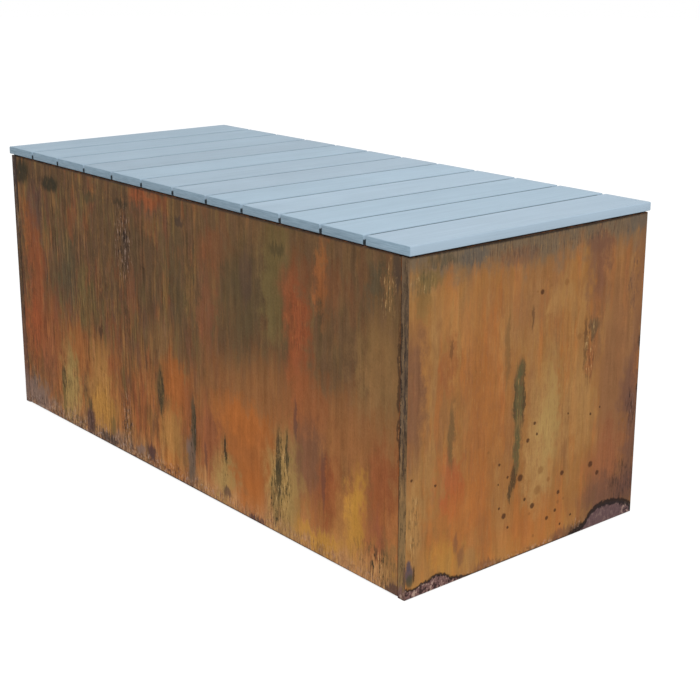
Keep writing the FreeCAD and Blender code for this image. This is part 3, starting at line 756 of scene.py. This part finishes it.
def long_panel_steel(name, side, seed, marks):
    """Steel of the front panel, on the side of -1, or of the back panel, on the side of 1."""
    finish = Material(name)
    across = finish.x * (1 / MM)
    # Seen from outside, the face is lively on its left and calm on its right
    lively = finish.ease(across * -side, -80, 160, 1.1, 0.35)
    face = painted_face(finish, across, finish.z * (1 / MM), LONG_STYLE, seed, marks, lively)
    return rusted(finish, outer_skin(finish, finish.y * side, STEEL_DEPTH), face.colour, face.height())


def end_panel_steel(name, side, seed, marks, stains, strip_grounds, strip_marks):
    """Steel of an end panel, with its flat face and the two returns that show on the long faces."""
    finish = Material(name)
    up = finish.z * (1 / MM)
    face = painted_face(finish, finish.y * (1 / MM), up, END_STYLE, seed, marks, END_LIVELY)
    for outline, paint, line, flecks in stains:
        face.stain(outline, paint, line, flecks)
    strip = Patina(finish, finish.x * (side / MM), up, strip_grounds, seed + 20, STRIP_DEPTH)
    strip.strokes()
    strip.lay(strip.firm, strip_marks, STRIP_EDGE)
    strip.score(STRIP_SCORES)
    strip.dirt(STRIP_DIRT_HIGH)
    # Painted shade along the top of the strip under the seat and along its foot
    strip.lay(strip.crisp, FRONT_SHADE_LINES, LINE_EDGE)
    on_end = outer_skin(finish, finish.x * side, STEEL_LENGTH)
    on_side = outer_skin(finish, finish.size_of(finish.y), STEEL_DEPTH)
    colour = finish.mix(on_end, strip.colour, face.colour)
    return rusted(finish, finish.maths("MAXIMUM", on_end, on_side), colour, face.height())


# Other finishes

def galvanised_sheet():
    """Zinc with its spangle, dulled by white bloom."""
    finish = Material("galvanised_sheet")
    place = finish.in_millimetres()
    wobble = finish.grain(place, 6, 6, 6)
    spangle_place = finish.moved(place, (1 / 9, 1 / 9, 1 / 9))
    spangle = finish.node("ShaderNodeTexVoronoi", {"feature": "F1"},
                          {"Vector": spangle_place, "Scale": 1.0, "Randomness": 1.0}, output="Color")
    facet = finish.node("ShaderNodeRGBToBW", inputs={0: spangle})
    bloom = finish.grain(place, 40, 40, 40, seed=2, detail=5.0, roughness=0.65)
    colour = finish.mix(facet, tone(150, 154, 158), tone(184, 188, 190))
    colour = finish.mix(finish.ease(bloom, 0.52, 0.7, 0.0, 0.6), colour, tone(204, 204, 198))
    return finish.finished({
        "Base Color": colour,
        "Metallic": finish.ease(bloom, 0.5, 0.72, 0.85, 0.35),
        "Roughness": finish.ease(facet, 0.1, 0.9, 0.34, 0.5) + (wobble - 0.5) * 0.2,
        "Normal": finish.bump(facet * 0.5 + wobble, 0.1 * MM, 0.4),
    })


def rubber_strip():
    finish = Material("rubber_strip")
    place = finish.in_millimetres()
    dust = finish.grain(place, 22, 22, 22, detail=4.0, roughness=0.6)
    pores = finish.grain(place, 0.9, 0.9, 0.9, detail=1.0)
    return finish.finished({
        "Base Color": finish.mix(finish.ease(dust, 0.5, 0.75, 0.0, 0.5), tone(34, 34, 35), tone(84, 80, 74)),
        "Roughness": finish.ease(dust, 0.4, 0.7, 0.62, 0.85),
        "Specular IOR Level": 0.35,
        "Normal": finish.bump(pores, 0.12 * MM, 0.5),
    })


def batten_timber():
    """Treated softwood that runs along X, with end grain at its ends."""
    finish = Material("batten_timber")
    place = finish.in_millimetres()
    drift = finish.grain(place, 260, 40, 40)
    across, deep, high = finish.axes(place)
    rings_place = finish.point(across * 0.004, deep * 0.11 + drift * 1.4, high * 0.16 + drift * 0.9)
    rings = finish.node("ShaderNodeTexWave", {"wave_type": "RINGS", "rings_direction": "X"}, {
        "Vector": rings_place, "Scale": 1.1, "Distortion": 3.0, "Detail": 2.0, "Detail Scale": 1.4,
    }, output="Fac")
    fibre = finish.grain(place, 90, 1.1, 1.1, seed=3, detail=3.0)
    stain = finish.grain(place, 120, 30, 30, seed=5, detail=3.0)
    colour = finish.mix(finish.ease(rings, 0.25, 0.9), tone(150, 122, 86), tone(112, 84, 55))
    colour = finish.shaded(colour, finish.ease(fibre, 0.3, 0.7, 0.84, 1.12))
    colour = finish.mix(finish.ease(stain, 0.5, 0.7, 0.0, 0.4), colour, tone(96, 90, 66))
    return finish.finished({
        "Base Color": colour,
        "Roughness": finish.ease(fibre, 0.3, 0.7, 0.66, 0.84),
        "Specular IOR Level": 0.3,
        "Normal": finish.bump(fibre * 0.6 + rings * 0.4, 0.25 * MM, 0.6),
    })


def board_paint(pitch, left_end, half_wide, half_depth, outer_side, top):
    """Blue-grey paint whose tint differs a little from board to board. Sizes in millimetres.

    pitch is from board to board, left_end lies half a gap before the first one, half_wide and half_depth are
    half its width and length, outer_side is the far side of the last one, and top is the height of them all.
    """
    finish = Material("board_paint")
    place = finish.in_millimetres()
    across, along, high = finish.axes(place)
    board = finish.maths("FLOOR", (across - left_end) * (1 / pitch))
    tint = finish.random_of(board + 0.37)
    hue = finish.random_of(board + 41.7)
    own = finish.point(across + board * 57, along + board * 131, high)
    fibre = finish.grain(own, 1.6, 130, 1.6, seed=1, detail=3.0)
    brushed = finish.grain(own, 7, 210, 7, seed=2)
    cloud = finish.grain(own, 60, 120, 60, seed=3, detail=3.0)
    fleck = finish.grain(own, 2.2, 5, 2.2, seed=6)
    colour = finish.mix(hue, tone(158, 180, 196), tone(162, 180, 195))
    # Painted light: the tops darker towards the left front and lighter towards the right back
    painted_light_falloff = finish.ease(across + along * 0.5 + (cloud - 0.5) * 300, -500, 450, 0.91, 1.07)
    light = finish.ease(tint, 0.0, 1.0, 0.97, 1.03) + (cloud - 0.5) * 0.14 + (brushed - 0.5) * 0.1
    light = light + (fibre - 0.5) * -0.16
    colour = finish.shaded(finish.shaded(colour, painted_light_falloff), light)
    colour = finish.mix(finish.ease(fleck, 0.68, 0.76, 0.0, 0.3), colour, tone(126, 144, 158))
    end_grain = finish.ease(finish.size_of(along), half_depth - 1.4, half_depth - 0.4)
    sawn = finish.grain(place, 22, 40, 1.1, seed=8, detail=4.0, roughness=0.6)
    end_colour = finish.mix(finish.ease(sawn, 0.35, 0.65), tone(112, 134, 149), tone(134, 156, 171))
    # Painted light: the ends of the boards made lighter towards the right end of the seat
    end_colour = finish.shaded(end_colour, finish.ease(across, 380, 470, 1.0, 1.17))
    colour = finish.mix(end_grain * 0.9, colour, end_colour)
    in_board = finish.maths("FRACT", (across - left_end) * (1 / pitch))
    from_middle = finish.size_of(in_board - 0.5) * pitch
    side_wall = finish.ease(from_middle, half_wide - 0.5, half_wide - 0.1)
    inner_wall = side_wall * finish.ease(finish.size_of(across), outer_side - 1, outer_side - 2)
    from_end = half_depth - finish.size_of(along)
    shadow_start = finish.ease(from_end, 3, 14, 5.0, 0.4)
    gap_shadow = inner_wall * finish.ease(top - high - shadow_start, 0.0, 2.0, 0.0, 0.9)
    colour = finish.shaded(colour, 1 - gap_shadow)
    return finish.finished({
        "Base Color": colour,
        "Roughness": finish.ease(fibre, 0.3, 0.7, 0.5, 0.66),
        "Specular IOR Level": 0.2,
        "Normal": finish.bump(fibre * 0.6 + brushed * 0.4, 0.18 * MM, 0.5),
    })


def fastener_steel(name, light, dark):
    """Bright steel with turning marks and a little grime."""
    finish = Material(name)
    place = finish.in_millimetres()
    lines = finish.grain(place, 0.25, 3, 3)
    grime = finish.grain(place, 3, 3, 3, seed=2, detail=4.0, roughness=0.6)
    colour = finish.mix(finish.ease(grime, 0.5, 0.7, 0.0, 0.7), light, dark)
    return finish.finished({
        "Base Color": colour,
        "Metallic": 0.9,
        "Roughness": finish.ease(grime, 0.35, 0.7, 0.26, 0.55),
        "Normal": finish.bump(lines, 0.03 * MM, 0.5),
    })


# Mesh building

SHARP_ANGLE = math.radians(35)
GROOVE_WIDE = 2.2 * MM
POINT_SPACING = 2.4 * MM
RING_SPACING = 14 * MM

# The shares of a bar's eased end: how far along it and how far in
EASE_STEPS = ((0.0, 1.0), (0.3, 0.3), (1.0, 0.0))


def skinned(body, rings, closed=False):
    """Adds faces between rings of points. A closed skin's last ring meets its first; others are capped."""
    rows = [[body.verts.new(point) for point in ring] for ring in rings]
    pairs = list(zip(rows, rows[1:]))
    if closed:
        pairs.append((rows[-1], rows[0]))
    for low, high in pairs:
        for index in range(len(low)):
            after = (index + 1) % len(low)
            body.faces.new((low[index], low[after], high[after], high[index]))
    if not closed:
        body.faces.new(list(reversed(rows[0])))
        body.faces.new(rows[-1])


def piece(name, body, material, rides_on, replaced):
    """Makes an object of a mesh, with its material and its body, in the place of CAD nodes."""
    bmesh.ops.recalc_face_normals(body, faces=body.faces)
    mesh = bpy.data.meshes.new(name)
    body.to_mesh(mesh)
    body.free()
    mesh.shade_smooth()
    mesh.set_sharp_from_angle(angle=SHARP_ANGLE)
    mesh.materials.append(material)
    made = bpy.data.objects.new(name, mesh)
    bpy.context.scene.collection.objects.link(made)
    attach(made, rides_on)
    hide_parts(*replaced)


def solids_of(node):
    """The box of each separate solid of a node, as lowest and highest corners."""
    body = bmesh.new()
    body.from_mesh(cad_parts[node].data)
    bmesh.ops.remove_doubles(body, verts=body.verts, dist=1e-6)
    left = set(body.verts)
    boxes = []
    while left:
        island = []
        waiting = [left.pop()]
        while waiting:
            vert = waiting.pop()
            island.append(vert.co.copy())
            for edge in vert.link_edges:
                other = edge.other_vert(vert)
                if other in left:
                    left.remove(other)
                    waiting.append(other)
        low = Vector([min(point[axis] for point in island) for axis in range(3)])
        high = Vector([max(point[axis] for point in island) for axis in range(3)])
        boxes.append((low, high))
    body.free()
    return sorted(boxes, key=lambda box: tuple(box[0]))


def arc(centre_a, centre_b, radius, start, end, steps):
    """Points of an arc, as pairs, from the start to the end in degrees."""
    angles = [math.radians(start + (end - start) * step / steps) for step in range(steps + 1)]
    return [(centre_a + radius * math.cos(angle), centre_b + radius * math.sin(angle)) for angle in angles]


def bar_outline(half_wide, half_thick, top_round, under_round):
    """The section of a bar about its middle: rounded above, eased below, with points along its top."""
    top = arc(half_wide - top_round, half_thick - top_round, top_round, 0, 90, 5)
    flat = 2 * (half_wide - top_round)
    count = max(2, round(flat / POINT_SPACING))
    top += [(half_wide - top_round - flat * step / count, half_thick) for step in range(1, count)]
    top += arc(top_round - half_wide, half_thick - top_round, top_round, 90, 180, 5)
    under = arc(under_round - half_wide, under_round - half_thick, under_round, 180, 270, 3)
    under += arc(half_wide - under_round, under_round - half_thick, under_round, 270, 360, 3)
    return top + under


def bar(low, high, lengthwise, top_round, under_round, end_ease, relief, fibre_length, seed):
    """A sawn bar of a box's size with eased ends and fine grooves along its top."""
    middle = (low + high) / 2
    half = (high - low) / 2
    crosswise = 1 - lengthwise
    outline = bar_outline(half[crosswise], half.z, top_round, under_round)
    length = 2 * half[lengthwise]
    inner = length - 2 * end_ease
    count = max(2, round(inner / RING_SPACING))
    stations = [(share * end_ease, inset * end_ease) for share, inset in EASE_STEPS]
    stations += [(end_ease + inner * step / count, 0) for step in range(1, count)]
    stations += [(length - share * end_ease, inset * end_ease) for share, inset in reversed(EASE_STEPS)]
    body = bmesh.new()
    rings = []
    for along, inset in stations:
        ring = []
        for across, high_up in outline:
            shrink_across = 1 - inset / half[crosswise]
            shrink_up = 1 - inset / half.z
            top = max(0.0, high_up / half.z)
            groove = noise.noise(Vector((across / GROOVE_WIDE, along / fibre_length, seed * 3.7)))
            lift = -relief * top * (0.5 + 0.5 * groove)
            point = Vector((0, 0, middle.z + high_up * shrink_up + lift))
            point[crosswise] = middle[crosswise] + across * shrink_across
            point[lengthwise] = low[lengthwise] + along
            ring.append(point)
        rings.append(ring)
    skinned(body, rings)
    return body


def spun(centre, axis, profile, shape, steps):
    """Rings of points round an axis, from profile points of radius and height that shape alters by turn."""
    side = axis.orthogonal().normalized()
    other = axis.cross(side)
    rings = []
    for radius, height in profile:
        ring = []
        for step in range(steps):
            turn = math.tau * step / steps
            far, up = shape(turn, radius, height)
            ring.append(centre + axis * up + (side * math.cos(turn) + other * math.sin(turn)) * far)
        rings.append(ring)
    return rings


# Sizes of the bolts, nuts and screws. A hexagon's chamfer starts at a share of the width across its flats.
BOLT_SHANK = 6 * MM
BOLT_PITCH = 1 * MM
BOLT_THREAD = 0.55 * MM
BOLT_POINT = 0.6 * MM
BOLT_FLATS = 10 * MM
BOLT_HEAD = 4 * MM
NUT_BORE = 6.2 * MM
NUT_THREAD = 0.3 * MM
NUT_BEVEL = 0.6 * MM
CHAMFER_START = 0.47
CHAMFER_SLOPE = 1.8
SCREW_SHANK = 4 * MM
SCREW_PITCH = 1.9 * MM
SCREW_THREAD = 0.22
SCREW_HEAD_HIGH = 2.4 * MM
SCREW_RIM = 0.25 * MM


def hexagon_reach(turn, across_flats):
    """The distance from the middle to a hexagon's side in one direction."""
    sixth = math.tau / 6
    off = (turn + sixth / 2) % sixth - sixth / 2
    return across_flats / 2 / math.cos(off)


def thread_cut(turn, height, pitch):
    """Depth of a thread's groove, from 0 on the crest to 1 at the root."""
    phase = (height / pitch - turn / math.tau) % 1
    return 1 - abs(2 * phase - 1)


def evenly(start, end, count):
    """Numbers from the start to the end in so many even steps."""
    return [start + (end - start) * step / count for step in range(count + 1)]


def hexagon_side(turn, radius, across_flats, from_face):
    """A radius kept within a hexagon whose corners are chamfered towards its face."""
    chamfer = CHAMFER_START * across_flats + max(0.0, from_face) * CHAMFER_SLOPE
    return min(radius, hexagon_reach(turn, across_flats), chamfer)


def hexagon_bolt(body, seat, axis, shank, across_flats, head, length):
    """A bolt whose head rises against the axis from its seat and whose shank runs along it."""
    flat_radius = CHAMFER_START * across_flats

    def head_shape(turn, radius, height):
        return hexagon_side(turn, radius, across_flats, height + head), height

    heights = evenly(-head, -head + 1.2 * MM, 5) + [-0.2 * MM]
    head_profile = [(flat_radius * 0.3, -head + 0.15 * MM), (flat_radius * 0.9, -head)]
    head_profile += [(across_flats, height) for height in heights]
    head_profile += [(0.45 * across_flats, 0), (shank / 2, 0)]
    skinned(body, spun(seat, axis, head_profile, head_shape, 48))

    def thread_shape(turn, radius, height):
        return radius - BOLT_THREAD * thread_cut(turn, height, BOLT_PITCH), height

    count = round(length / BOLT_PITCH * 6)
    thread_profile = [(shank / 2, height) for height in evenly(0, length - BOLT_POINT, count)]
    thread_profile.append((shank / 2 - BOLT_POINT, length))
    skinned(body, spun(seat, axis, thread_profile, thread_shape, 20))


def hexagon_nut(body, base, axis, bore, across_flats, height):
    """A nut with chamfered corners and a threaded bore."""

    def shape(turn, radius, up):
        if radius <= bore / 2 + 1e-6:
            return radius - NUT_THREAD * thread_cut(turn, up, BOLT_PITCH), up
        return hexagon_side(turn, radius, across_flats, min(up, height - up)), up

    outside = [(across_flats, up) for up in evenly(0, 1 * MM, 4) + evenly(height - 1 * MM, height, 4)]
    bore_side = [(bore / 2, up) for up in evenly(height, 0, round(height / BOLT_PITCH * 5))]
    eased = bore / 2 + NUT_BEVEL
    profile = outside + [(eased, height)] + bore_side + [(eased, 0)]
    skinned(body, spun(base, axis, profile, shape, 36), closed=True)


def countersunk_screw(body, base, axis, shank, head_wide, head_high, length):
    """A countersunk screw with a cross recess, whose head's face is at the base."""
    recess_arm = 0.27 * head_wide
    recess_half = 0.07 * head_wide
    recess_deep = 0.55 * head_high

    def face_shape(turn, radius, height):
        if height > 0 or radius >= head_wide / 2 - 1e-6:
            return radius, height
        first = abs(radius * math.cos(turn))
        second = abs(radius * math.sin(turn))
        narrow, far = min(first, second), max(first, second)
        side = min(1.0, max(0.0, (recess_half * 1.6 - narrow) / (recess_half * 0.6)))
        reach = min(1.0, max(0.0, (recess_arm - far) / (recess_arm * 0.35)))
        return radius, recess_deep * side * reach

    face = [(head_wide / 2 * share, 0.0) for share in evenly(0.02, 1.0, 11)]
    cone = [(head_wide / 2, SCREW_RIM), (shank / 2, head_high)]
    skinned(body, spun(base, axis, face + cone, face_shape, 32))

    def thread_shape(turn, radius, height):
        return radius - SCREW_THREAD * shank * thread_cut(turn, height, SCREW_PITCH), height

    count = round((length - head_high) / SCREW_PITCH * 4)
    tip = 0.16 * length
    threads = [
        (shank / 2 * min(1.0, (length - height) / tip + 0.12), height)
        for height in evenly(head_high, length, count)
    ]
    skinned(body, spun(base, axis, threads, thread_shape, 12))


# Camera

LENS = 71.357
SENSOR = 36
SHIFT_UP = -0.061
CAMERA_PLACE = Vector((1.6496, -1.2760, 0.7984))
CAMERA_AZIMUTH = math.radians(49.956)
CAMERA_ELEVATION = math.radians(15.098)
CAMERA_ROLL = math.radians(0.174)


def make_camera():
    data = bpy.data.cameras.new("camera")
    data.lens = LENS
    data.sensor_width = SENSOR
    data.shift_y = SHIFT_UP
    level = Vector((math.cos(CAMERA_AZIMUTH), math.sin(CAMERA_AZIMUTH), 0))
    back = Vector((
        math.sin(CAMERA_AZIMUTH) * math.cos(CAMERA_ELEVATION),
        -math.cos(CAMERA_AZIMUTH) * math.cos(CAMERA_ELEVATION),
        math.sin(CAMERA_ELEVATION),
    ))
    upright = back.cross(level)
    right = level * math.cos(CAMERA_ROLL) + upright * math.sin(CAMERA_ROLL)
    up = upright * math.cos(CAMERA_ROLL) - level * math.sin(CAMERA_ROLL)
    camera = bpy.data.objects.new("camera", data)
    turn = Matrix((right, up, back)).transposed().to_4x4()
    camera.matrix_world = Matrix.Translation(CAMERA_PLACE) @ turn
    bpy.context.scene.collection.objects.link(camera)
    bpy.context.scene.camera = camera


# Light and floor

SKY_STRENGTH = 0.75
KEY_PLACE = (2.7, -1.6, 4.0)
KEY_TARGET = (0, 0, 0.2)
KEY_WIDE = 2.5
KEY_POWER = 95
FLOOR_RADIUS = 12
FLOOR_DROP = 0.3 * MM
FLOOR_TONE = 0.8
SHADOW_TONE = 0.3
FLOOR_GLOW = 0.8


def seen(finish):
    """1 for the rays that show the background: straight, mirrored or through glass."""
    path = finish.node("ShaderNodeLightPath").socket.node
    rays = [Signal(finish, path.outputs[name]) for name in
            ("Is Camera Ray", "Is Glossy Ray", "Is Transmission Ray")]
    return finish.maths("MINIMUM", rays[0] + rays[1] + rays[2], 1.0)


def make_sky(strength):
    """White where it is seen, and soft light of a plain strength on the object."""
    world = bpy.data.worlds.new("studio")
    world.use_nodes = True
    bpy.context.scene.world = world
    finish = Finish(world.node_tree)
    show = seen(finish)
    level = show + (1 - show) * strength
    light = finish.node("ShaderNodeBackground", inputs={"Color": grey(1), "Strength": level})
    finish.node("ShaderNodeOutputWorld", inputs={"Surface": light})


def make_lamp(name, place, target, size, power):
    data = bpy.data.lights.new(name, "AREA")
    data.shape = "DISK"
    data.size = size
    data.energy = power
    lamp = bpy.data.objects.new(name, data)
    lamp.location = place
    lamp.rotation_euler = (Vector(place) - Vector(target)).to_track_quat("Z", "Y").to_euler()
    bpy.context.scene.collection.objects.link(lamp)


def make_floor():
    """A pale floor that shows white and keeps a faint shadow round the object."""
    material = bpy.data.materials.new("pale_floor")
    material.use_nodes = True
    finish = Finish(material.node_tree)
    plain = finish.node("ShaderNodeBsdfDiffuse", inputs={"Color": grey(FLOOR_TONE)})
    shadowed = finish.node("ShaderNodeBsdfDiffuse", inputs={"Color": grey(SHADOW_TONE)})
    glow = finish.node("ShaderNodeEmission", inputs={"Color": grey(1), "Strength": FLOOR_GLOW})
    shown = finish.node("ShaderNodeAddShader", inputs={0: shadowed, 1: glow})
    surface = finish.node("ShaderNodeMixShader", inputs={0: seen(finish), 1: plain, 2: shown})
    finish.node("ShaderNodeOutputMaterial", inputs={0: surface})
    body = bmesh.new()
    bmesh.ops.create_circle(body, cap_ends=True, segments=96, radius=FLOOR_RADIUS)
    mesh = bpy.data.meshes.new("floor")
    body.to_mesh(mesh)
    body.free()
    mesh.materials.append(material)
    floor = bpy.data.objects.new("floor", mesh)
    floor.location.z = -FLOOR_DROP
    bpy.context.scene.collection.objects.link(floor)


# Pieces

def dress(material, *nodes):
    """Gives nodes that keep their own mesh a new material."""
    for node in nodes:
        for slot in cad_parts[node].material_slots:
            slot.material = material


def dress_trough():
    front = long_panel_steel("front_patina", side=-1, seed=3,
                             marks=(FRONT_CLOUDS, FRONT_DRIPS, FRONT_SCORES, ()))
    back = long_panel_steel("back_patina", side=1, seed=40,
                            marks=unseen_face_marks(seed=11, half_span=STEEL_LENGTH / 2))
    right = end_panel_steel("right_end_patina", side=1, seed=60,
                            marks=(END_CLOUDS, END_DRIPS, END_SCORES, END_SPOTS),
                            stains=(FAR_STAIN, NEAR_STAIN),
                            strip_grounds=(STRIP_BROWN, OLIVE_OCHRE, OLIVE_OCHRE), strip_marks=RIGHT_STRIP)
    left = end_panel_steel("left_end_patina", side=-1, seed=90,
                           marks=unseen_face_marks(seed=23, half_span=STEEL_DEPTH / 2), stains=(),
                           strip_grounds=(UMBER, MAUVE_BROWN, MAUVE_BROWN), strip_marks=LEFT_STRIP)
    dress(front, "front_panel")
    dress(back, "back_panel")
    dress(right, "right_end_panel")
    dress(left, "left_end_panel")
    dress(galvanised_sheet(), "base_tray", "cross_tie", "left_tray_stiffener", "middle_tray_stiffener",
          "right_tray_stiffener")
    dress(rubber_strip(), "front_rim_strip", "rear_rim_strip", "left_rim_strip", "right_rim_strip")


def make_boards():
    names = sorted(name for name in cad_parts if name.startswith("slat_") and name != "slat_screws")
    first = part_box(names[0])
    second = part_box(names[1])
    pitch = (second[0].x - first[0].x) / MM
    left_end = (first[0].x - (second[0].x - first[1].x) / 2) / MM
    half_wide = (first[1].x - first[0].x) / 2 / MM
    last_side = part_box(names[-1])[1].x / MM
    paint = board_paint(pitch, left_end, half_wide, first[1].y / MM, last_side, first[1].z / MM)
    for index, name in enumerate(names):
        low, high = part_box(name)
        board = bar(low, high, lengthwise=1, top_round=1.5 * MM, under_round=1 * MM, end_ease=1.3 * MM,
                    relief=0.16 * MM, fibre_length=90 * MM, seed=index)
        piece(name.replace("slat", "board"), board, paint, SEAT, [name])


def make_battens():
    timber = batten_timber()
    for index, name in enumerate(("front_batten", "middle_batten", "rear_batten")):
        low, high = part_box(name)
        batten = bar(low, high, lengthwise=0, top_round=1.6 * MM, under_round=1.6 * MM, end_ease=1.2 * MM,
                     relief=0.2 * MM, fibre_length=60 * MM, seed=20 + index)
        piece(name + "_timber", batten, timber, SEAT, [name])


def inner_face(low, high):
    """The way from the bench's middle to the end that a solid is near, and the middle of its inner face."""
    outward = Vector((math.copysign(1, low.x), 0, 0))
    inner = low.x if outward.x > 0 else high.x
    return outward, Vector((inner, (low.y + high.y) / 2, (low.z + high.z) / 2))


def make_fasteners():
    stainless = fastener_steel("stainless_steel", tone(196, 194, 188), tone(128, 112, 96))
    zinc = fastener_steel("zinc_plate", tone(184, 186, 184), tone(120, 104, 84))
    bolts = bmesh.new()
    for low, high in solids_of("corner_bolts"):
        outward, base = inner_face(low, high)
        hexagon_bolt(bolts, base + outward * BOLT_HEAD, outward, BOLT_SHANK, BOLT_FLATS, BOLT_HEAD,
                     high.x - low.x - BOLT_HEAD)
    piece("corner_hex_bolts", bolts, stainless, TROUGH, ["corner_bolts"])
    nuts = bmesh.new()
    for low, high in solids_of("corner_nuts"):
        outward, base = inner_face(low, high)
        hexagon_nut(nuts, base, outward, NUT_BORE, BOLT_FLATS, high.x - low.x)
    piece("corner_hex_nuts", nuts, zinc, TROUGH, ["corner_nuts"])
    screws = bmesh.new()
    for low, high in solids_of("slat_screws"):
        base = Vector(((low.x + high.x) / 2, (low.y + high.y) / 2, low.z))
        countersunk_screw(screws, base, Vector((0, 0, 1)), SCREW_SHANK, high.x - low.x, SCREW_HEAD_HIGH,
                          high.z - low.z)
    piece("board_screws", screws, stainless, SEAT, ["slat_screws"])


bpy.context.scene.view_settings.view_transform = "Standard"
make_camera()
make_sky(SKY_STRENGTH)
make_lamp("key", KEY_PLACE, KEY_TARGET, KEY_WIDE, KEY_POWER)
make_floor()
dress_trough()
make_boards()
make_battens()
make_fasteners()
